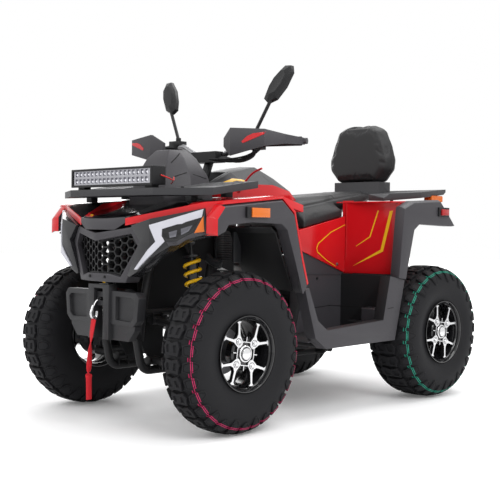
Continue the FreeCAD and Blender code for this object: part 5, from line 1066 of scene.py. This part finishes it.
def painted_on(label, outline, under, view, material, rise=paint_thickness, both=True,
               body_name="chassis"):
    """A painted mark on a surface, on both sides of the machine or on one."""
    mark = laid_on(label, outline, under, view, rise, paint_facet)
    belongs(pair_of(mark) if both else mark, [material], body_name=body_name)


nose = moulded("nose", "nose_cowl", [gloss_black, panel_grey], 0.003, 3)
second_material(nose, lambda part: part.normal.y < -0.5)
under_bonnet = surface_of("nose_cowl", "front_fenders")
painted_on("bonnet_mark_red", mark_red, under_bonnet, "top", panel_red, both=False)
painted_on("bonnet_mark_yellow", mark_yellow, under_bonnet, "top", paint_yellow, 0.0014, False)
built("nose_back", [nose_back], liner_black)

# Front wings
# Injection-moulded decks under grey flares: gloss red, and black towards the
# bonnet. The flares' front returns are red too.

paint_line_start = 0.160
paint_line_front = -0.852
paint_line_slope = 0.431
paint_line_end = 0.360
red_return_ahead = -0.66
front_wings = moulded("front_wings", "front_fenders", [panel_red, gloss_black], 0.003, 3)
edit_mesh()
for side in (-1, 1):
    slanted = ((side * paint_line_start, paint_line_front, 0), (-side * paint_line_slope, 1, 0))
    straight = ((side * paint_line_end, 0, 0), (1, 0, 0))
    for place, across in (slanted, straight):
        cut_through(place, across)
bpy.ops.object.mode_set(mode="OBJECT")


def behind_paint_line(part):
    """True for the top faces between the two slanted paint lines."""
    across = abs(part.center.x)
    return (across < paint_line_end and part.normal.z > 0.3
            and part.center.y > paint_line_front + paint_line_slope * (across - paint_line_start))


second_material(front_wings, behind_paint_line)
front_flares = moulded("front_flares", "flares_front", [panel_grey, panel_red], 0.004, 3)
second_material(front_flares, lambda part: part.normal.y < -0.55 and part.center.y < red_return_ahead)

# Headlamps
# Behind each clear lens lie a silver light guide, bent like a boomerang, a black
# housing with two reflectors, and an amber turn light at the outer corner.

amber = finish("amber lens", (0.60, 0.13, 0.004), 0.15, depth=0.02, coat=0.6)
lamp_dark = finish("lamp housing", (0.014, 0.014, 0.016), 0.2, grain=300, depth=0.03, coat=0.4,
                   specular=0.3)
guide_silver = finish("light guide", (0.50, 0.50, 0.55), 0.18, grain=250, depth=0.05, coat=0.6)
lamp_black = finish("lamp housing gloss", (0.004, 0.004, 0.005), 0.1, grain=200, depth=0.02, coat=0.4,
                    specular=0.3)
reflector_silver = finish("lamp reflector", (0.16, 0.16, 0.18), 0.18, grain=200, depth=0.1, metallic=1.0)
lamp_parts = [  # label, outline across and up, thickness, material, slot, edge
    ("light_guides", [(0.264, 0.744), (0.422, 0.803), (0.417, 0.774), (0.372, 0.757), (0.360, 0.750),
                      (0.346, 0.748), (0.303, 0.731), (0.302, 0.706), (0.311, 0.688), (0.2665, 0.632),
                      (0.205, 0.585), (0.190, 0.585), (0.245, 0.640), (0.284, 0.686), (0.267, 0.733)],
     0.0050, guide_silver, "lamp_clear", 0.0016),
    ("lamp_housings", [(0.305, 0.730), (0.346, 0.746), (0.360, 0.748), (0.413, 0.768), (0.391, 0.724),
                       (0.347, 0.693), (0.314, 0.690), (0.304, 0.706)],
     0.0016, lamp_black, "gloss_black", 0.0005),
    ("reflectors_inner", [(0.322, 0.720), (0.347, 0.729), (0.344, 0.705), (0.325, 0.700)],
     0.0040, reflector_silver, "lamp_clear", 0.0012),
    ("reflectors_outer", [(0.357, 0.733), (0.392, 0.747), (0.380, 0.724), (0.358, 0.710)],
     0.0040, reflector_silver, "lamp_clear", 0.0012),
    ("turn_lights", [(0.4215, 0.779), (0.4250, 0.723), (0.3950, 0.717)], 0.0040, amber, "amber", 0.0012),
    ("lamp_lips", [(0.316, 0.686), (0.347, 0.689), (0.392, 0.719), (0.429, 0.719), (0.424, 0.707),
                   (0.393, 0.702), (0.352, 0.676), (0.322, 0.672)],
     0.0040, panel_grey, "grey_plastic", 0.0014),
]
moulded("headlamp_pair", "headlamps", [lamp_dark], 0.0025, 3)
under_lamps = surface_of("headlamps")
for label, outline, rise, material, slot_name, edge in lamp_parts:
    belongs(pair_of(laid_on(label, outline, under_lamps, "front", rise, edge=edge)), [material])

# Markers and tail lamps
# Amber and red lenses of ribbed acrylic, each on a black base that is screwed to
# its flare. An amber lamp hangs under each rear corner of the rack.

red_lens = finish("red lens", (0.34, 0.004, 0.006), 0.12, depth=0.02, coat=0.5)
base_blocks = [((0.012, 0.022, 0.040), (0.505, -0.608, 0.794), 0.002, 2),
               ((0.010, 0.080, 0.040), (0.503, 0.628, 0.822), 0.002, 2)]
rack_lamp_blocks = [((0.044, 0.090, 0.026), (0.370, 0.745, 0.886), 0.003, 2)]
rack_lamp_blocks += [((0.046, 0.0016, 0.028), (0.370, 0.710 + 0.010 * rib, 0.886)) for rib in range(8)]
moulded("amber_markers", "markers_amber", [amber])
moulded("tail_lamps", "lamps_red", [red_lens])
built("marker_bases", base_blocks, grille_black, both=True)
built("rack_lamps", rack_lamp_blocks, amber, both=True)

# Racks
# Reinforced nylon decks with a coarse grain. Two bolts hold the front one down at
# its front corners.

rack_grey = finish("rack grey", (0.026, 0.026, 0.029), 0.5, depth=0.5, drift=0.15, specular=0.35)
rack_bolt_spots = [(-0.30, -0.74), (0.30, -0.74)]  # across, along
moulded("rack_front", "front_rack", [rack_grey], 0.003)
moulded("rack_rear", "rear_rack", [rack_grey], 0.003)
bolt_heads("rack_bolts", seats_on(surface_of("front_rack"), "top", rack_bolt_spots), 0.007)

# Light bar
# An extruded black housing with square cups in its face. Each cup is a bright
# reflector with a small domed emitter. A red wire runs from it to the pod.

bar_black = finish("lamp bar black", (0.008, 0.008, 0.009), 0.35)
led_silver = finish("led reflector", (0.42, 0.42, 0.45), 0.25, metallic=1.0)
led_glow = finish("led lens", (0.85, 0.85, 0.90), 0.12, depth=0.02, coat=0.6)
wire_red = finish("wire red", (0.55, 0.010, 0.010), 0.4, depth=0.05)
bar_half = 0.244
bar_front = -0.833
lamp_rows = (0.908, 0.936)
bezel_mid = sum(lamp_rows) / 2
bezel_at = bar_front - 0.0006
bezel_blocks = [((2 * bar_half, 0.0060, 0.0085), (0, bezel_at, bezel_mid + side * 0.0305), 0.0012)
                for side in (-1, 1)]
bezel_blocks += [((0.0100, 0.0068, 0.0690), (side * (bar_half - 0.005), bezel_at, bezel_mid), 0.0012)
                 for side in (-1, 1)]
cup_columns = 18
cup_share = 0.92
face_share = 0.93
cup_pitch = 2 * bar_half * cup_share / cup_columns
cup_floor = bar_front + 0.0085
cup_half = 0.013
half_row = (cup_columns - 1) / 2
emitter_at = bar_front + 0.005
emitter_radius = 0.0050
wire_route = [(0.246, -0.795, 0.925), (0.262, -0.770, 0.915), (0.250, -0.735, 0.905),
              (0.228, -0.720, 0.925), (0.205, -0.700, 0.905), (0.180, -0.690, 0.900)]
wire_thick = 0.0022


def in_the_cups(part):
    """True for the faces of the bar between its bezels."""
    return (part.center.y < cup_floor and abs(part.center.x) < bar_half * face_share
            and lamp_rows[0] - cup_half < part.center.z < lamp_rows[1] + cup_half)


light_bar = moulded("light_bar_body", "light_bar", [bar_black, led_silver], 0.0012)
second_material(light_bar, in_the_cups)
built("light_bar_bezel", bezel_blocks, bar_black)
deselect_all()
bpy.ops.mesh.primitive_uv_sphere_add(segments=10, ring_count=6, radius=emitter_radius, location=(0, 0, 0))
emitters = repeated(bpy.context.object,
                    [Matrix.Translation(((column - half_row) * cup_pitch, emitter_at, row))
                     for column in range(cup_columns) for row in lamp_rows], "led_emitters")
shade(emitters, 60)
belongs(emitters, [led_glow])
pipe("lamp_wire", wire_route, wire_thick, wire_red)

# Instrument pod
# A moulded shroud round the display, with a shut line down each flank and a
# screen behind clear plastic that faces the rider.

line_black = finish("shut line", (0.004, 0.004, 0.004), 0.7, depth=0.0)
shut_line_wide = 0.003
shut_line_thick = 0.0005
pod_lines = [[(-0.556, 1.025), (-0.580, 1.006), (-0.603, 0.986)],
             [(-0.610, 0.932), (-0.568, 0.948), (-0.478, 0.928)]]
display_parts = [  # label, outline across and up, thickness, edge, material, slot
    ("screen_bezel", [(-0.070, 0.925), (0.070, 0.925), (0.062, 1.010), (-0.062, 1.010)],
     0.004, 0.0012, grille_black, "black_plastic"),
    ("screen", [(-0.060, 0.934), (0.060, 0.934), (0.054, 1.001), (-0.054, 1.001)],
     0.0055, 0.0006, gloss_black, "gloss_black"),
]


def shut_line(label, route, under):
    """A dark line on both flanks where two mouldings meet."""
    painted_on(label, stroke(route, [shut_line_wide] * len(route)), under, "left", line_black,
               shut_line_thick)


moulded("instrument_pod", "instrument_cowl", [panel_grey], 0.004, 3)
under_pod = surface_of("instrument_cowl")
for number, route in enumerate(pod_lines):
    shut_line("pod_shut_lines_%d" % number, route, under_pod)
for label, outline, rise, edge, material, slot_name in display_parts:
    belongs(laid_on(label, outline, under_pod, "back", rise, paint_facet, edge), [material])

# Tank cover and side covers
# The tank wears a dark spine and red sides. Yellow pinstripes run over the side
# covers, and a bolt holds each cover at its lower rear corner.

spine_grey = finish("spine grey", (0.020, 0.020, 0.023), 0.5, grain=1300, depth=0.2, specular=0.3)
cover_top = 0.88
pinstripe = [(0.302, 0.760), (0.207, 0.727), (0.124, 0.678), (0.113, 0.658), (0.119, 0.641), (0.176, 0.607),
             (0.241, 0.578)]
pinstripe_wide = [0.0030, 0.0040, 0.0042, 0.0045, 0.0042, 0.0036, 0.0020]
tank_line = [(-0.405, 0.904), (-0.322, 0.932), (-0.290, 0.928), (-0.243, 0.905)]
tank_line_wide = [0.004, 0.010, 0.010, 0.004]
cover_bolt_spots = [((side * 0.206, 0.252, 0.587), (side, 0, 0)) for side in (-1, 1)]
moulded("tank", "tank_cover", [spine_grey], 0.006, 3)
side_panels = moulded("side_panels", "side_covers", [panel_red, spine_grey], 0.003, 3)
second_material(side_panels, lambda part: part.normal.z > 0.55 and part.center.z > cover_top)
under_covers = surface_of("side_covers")
for label, line, widths in (("cover_stripes", pinstripe, pinstripe_wide),
                            ("tank_stripes", tank_line, tank_line_wide)):
    painted_on(label, stroke(line, widths), under_covers, "left", paint_yellow)
bolt_heads("cover_bolts", cover_bolt_spots, 0.005, dull_steel)

# Rear wings
# Red inner decks under grey flares, with a broad and a thin yellow stripe down
# their front faces. A folded strip closes the joint to the side cover.

broad_stripe = [(0.4215, 0.823), (0.4075, 0.821), (0.3690, 0.654), (0.2390, 0.577), (0.3800, 0.646)]
thin_stripe = stroke([(0.356, 0.823), (0.320, 0.709), (0.256, 0.666)], [0.0050, 0.0050, 0.0020])
joint_line = [(0.190, 0.3055), (0.240, 0.3184), (0.240, 0.3206), (0.190, 0.3077)]
joint_low = 0.545
joint_high = 0.866
strip_ease = 0.0004
upright = Matrix(((0, 1, 0, 0), (0, 0, 1, 0), (1, 0, 0, 0), (0, 0, 0, 1)))  # stands a prism along X on Z
moulded("rear_wings", "rear_fenders", [panel_red], 0.003, 3)
moulded("rear_flares", "flares_rear", [panel_grey], 0.004, 3)
under_wings = surface_of("rear_fenders")
painted_on("wing_stripes_broad", broad_stripe, under_wings, "front", paint_yellow)
painted_on("wing_stripes_thin", thin_stripe, under_wings, "front", paint_yellow)
joint_strip = prism_along_x("joint_strips", joint_line, joint_low, joint_high, strip_ease)
joint_strip.data.transform(upright)
belongs(pair_of(joint_strip), [panel_red])

# Footwells
# Grey moulded shells with a black rear wall and floor, and folded flanges under
# the red panels. The arch liners are thin black sheet.

well_black = finish("footwell black", (0.006, 0.006, 0.007), 0.55, depth=0.4, specular=0.3)
well_half = 0.47
well_floor = 0.40
well_rear = 0.20
cover_flange_line = [(-0.060, 0.548), (0.304, 0.539), (0.312, 0.570), (-0.060, 0.700)]
wing_flange_line = [(0.200, 0.3088), (0.430, 0.3681), (0.430, 0.3711), (0.200, 0.3118)]
flange_ease = 0.0006
well_line = [(0.010, 0.396), (0.186, 0.405), (0.280, 0.414)]
well_bolt_spots = [((side * 0.1962, 0.130, 0.527), (side, 0, 0)) for side in (-1, 1)]
heel_block = ((0.075, 0.060, 0.085), (0.392, 0.262, 0.366), 0.008, 3)


def floor_or_rear_wall(part):
    """True for the faces of a footwell that are moulded in black."""
    floor = part.normal.z > 0.9 and part.center.z < well_floor
    rear_wall = part.normal.y < -0.5 and part.center.y > well_rear
    return abs(part.center.x) < well_half and (floor or rear_wall)


footwells = moulded("footwell_pair", "footwells", [panel_grey, well_black], 0.004, 3)
second_material(footwells, floor_or_rear_wall)
moulded("arch_liners", "inner_arches", [grille_black], 0.003)
cover_flange = prism_along_x("cover_flanges", cover_flange_line, 0.1967, 0.1990, flange_ease)
belongs(pair_of(cover_flange), [panel_grey])
wing_flange = prism_along_x("wing_flanges", wing_flange_line, 0.525, 0.575, flange_ease)
wing_flange.data.transform(upright)
belongs(pair_of(wing_flange), [panel_grey])
shut_line("well_lines", well_line, surface_of("footwells"))
bolt_heads("well_bolts", well_bolt_spots, 0.0045)
built("heel_blocks", [heel_block], panel_grey, both=True)

# Front guard and winch
# A tubular hoop under moulded wings, with the winch drum behind it. The hook is
# bright plated steel.

guard_black = finish("guard black", (0.016, 0.016, 0.018), 0.45, grain=700, depth=0.4, specular=0.35)
winch_grey = finish("winch grey", (0.020, 0.020, 0.022), 0.4, grain=700, depth=0.3)
bright_steel = finish("bright steel", (0.66, 0.66, 0.67), 0.22, metallic=1.0)
moulded("guard", "front_guard", [guard_black], 0.003)
moulded("winch_drum", "winch", [winch_grey])
paint(bright_steel, "winch_hook")

# Handlebar, grips and switches
# Bent alloy bar on a black stem. The switch blocks are black nylon, and brake
# and throttle lines leave them in a loose bundle.

bar_alloy = finish("bar alloy", (0.30, 0.30, 0.31), 0.3, metallic=1.0)
grip_rubber = finish("grip rubber", (0.008, 0.008, 0.009), 0.7, depth=0.4)
stem_top = 1.02
stem_half = 0.09
line_route = [(0.300, -0.335, 1.055), (0.262, -0.350, 1.026), (0.205, -0.372, 1.012),
              (0.130, -0.385, 1.010), (0.060, -0.385, 1.014)]
line_drops = (0.0, 0.007, 0.013)
line_radius = 0.0034
bar_piece = node_copy("handlebar_tube", "handlebar")
belongs(bar_piece, [frame_black, bar_alloy], "handlebar", "steering")
second_material(bar_piece, lambda part: part.center.z > stem_top and abs(part.center.x) > stem_half)
shade(bar_piece, mould_soft)
paint(grip_rubber, "grips")
moulded("control_blocks", "controls", [grille_black], 0.0015, body_name="steering")
for side, label in ((1, "left"), (-1, "right")):
    for number, drop in enumerate(line_drops):
        route = [(side * across, along + drop / 2,
                  up - drop * math.sin(math.pi * share / (len(line_route) - 1)))
                 for share, (across, along, up) in enumerate(line_route)]
        pipe("control_line_%s_%d" % (label, number), route, line_radius, grip_rubber,
             "steering")

# Hand guards and mirrors
# Grey moulded guards with a red flash and a dark underside. The mirrors have
# black shells on bent stems, their glass facing the rider.

mirror_glass = finish("mirror glass", (0.80, 0.82, 0.84), 0.03, depth=0.0, metallic=1.0)
flash_outline = [(0.292, 1.069), (0.318, 1.088), (0.345, 1.097), (0.398, 1.100), (0.394, 1.092),
                 (0.350, 1.078), (0.298, 1.062)]
flash_thick = 0.0012
glass_above = 1.22
glass_area = 0.001
glass_rim = 0.005
glass_sink = -0.0012
guards = moulded("hand_guard_pair", "hand_guards", [panel_grey, spine_grey], 0.004, 3,
                 "steering")
second_material(guards, lambda part: part.normal.z < -0.5)
painted_on("guard_flashes", flash_outline, surface_of("hand_guards"), "front", panel_red,
           flash_thick, body_name="steering")
mirrors = moulded("mirror_pair", "mirrors", [grille_black, mirror_glass], 0.004, 3,
                  "steering")
edit_mesh()
pick(mirrors, "FACE", lambda part: (part.normal.y > 0.9 and part.center.z > glass_above
                                    and part.area > glass_area))
bpy.ops.mesh.inset(thickness=glass_rim, depth=glass_sink)
bpy.ops.object.mode_set(mode="OBJECT")
second_material(mirrors, lambda part: part.select)

# Seat and backrest
# Foam under black vinyl, sewn along the shoulders and between the rider's and the
# passenger's place. The pads swell a little, as a real cover does over its foam.

vinyl = finish("seat vinyl", (0.017, 0.017, 0.018), 0.46, grain=650, depth=0.55, drift=0.15)
pad_cell = 0.005
pad_pressure = 4
pad_steps = 20
pad_soft = 60
pad_growth = 0.4  # of the cap, before the cloth swells it
roll_share = 0.35  # the cover rises a little beside its seam
roll_place = 2.2
shoulder_half = 0.09
shoulder_low = 0.838
shoulder_climb = 0.16
shoulder_start = 0.089
place_seam = 0.335
place_bend = 0.12
place_half = 0.125
seat_top = 0.86
welt_along = 0.690
welt_middle = 1.10
welt_lean = 0.02
away_from_seam = 1.0


def puffed(piece, cap, rounds):
    """Fills a pad: an even mesh, rounded, then swollen by cloth pressure no further than the cap."""
    only(piece)
    edit_mesh("SELECT")
    bpy.ops.transform.shrink_fatten(value=cap * pad_growth)
    bpy.ops.object.mode_set(mode="OBJECT")
    applied(piece, "REMESH", mode="VOXEL", voxel_size=pad_cell)
    applied(piece, "SMOOTH", factor=0.5, iterations=rounds)
    start = [vertex.co.copy() for vertex in piece.data.vertices]
    cover = piece.modifiers.new("cover", "CLOTH")
    cover.settings.use_pressure = True
    cover.settings.uniform_pressure_force = pad_pressure
    cover.settings.effector_weights.gravity = 0
    for step in range(1, pad_steps + 1):
        bpy.context.scene.frame_set(step)
    bpy.ops.object.modifier_apply(modifier=cover.name)
    bpy.context.scene.frame_set(1)
    for vertex, old in zip(piece.data.vertices, start):
        move = vertex.co - old
        if move.length > cap:
            vertex.co = old + move * (cap / move.length)
    applied(piece, "SUBSURF", levels=1, render_levels=1)


def sewn(piece, distance, depth, width):
    """Draws the cover in along a seam; the distance of a point from the seam is given."""
    moves = []
    for vertex in piece.data.vertices:
        gap = distance(vertex.co)
        groove = depth * math.exp(-(gap / width) ** 2)
        roll = roll_share * depth * math.exp(-((gap - roll_place * width) / width) ** 2)
        moves.append(vertex.normal * -(groove - roll))
    for vertex, move in zip(piece.data.vertices, moves):
        vertex.co += move


def shoulder_gap(spot):
    """How far a point is from the seam along the seat's shoulder."""
    if abs(spot.x) < shoulder_half:
        return away_from_seam
    return abs(spot.z - shoulder_low - (spot.y - shoulder_start) * shoulder_climb)


def cross_gap(spot):
    """How far a point on the top is from the seam between the two places."""
    if spot.z < seat_top or abs(spot.x) > place_half:
        return away_from_seam
    return abs(spot.y - place_seam + place_bend * abs(spot.x))


def welt_gap(spot):
    """How far a point is from the welt round the backrest."""
    return abs(spot.y - welt_along - (spot.z - welt_middle) * welt_lean)


seat_pad = node_copy("seat_pad", "seat")
puffed(seat_pad, 0.006, 6)
sewn(seat_pad, shoulder_gap, 0.0026, 0.0032)
sewn(seat_pad, cross_gap, 0.0030, 0.0034)
shade(seat_pad, pad_soft)
belongs(seat_pad, [vinyl], "seat")
back_pad = node_copy("backrest", "backrest_pad")
puffed(back_pad, 0.007, 30)
sewn(back_pad, welt_gap, 0.0030, 0.0034)
shade(back_pad, pad_soft)
belongs(back_pad, [vinyl], "backrest_pad")
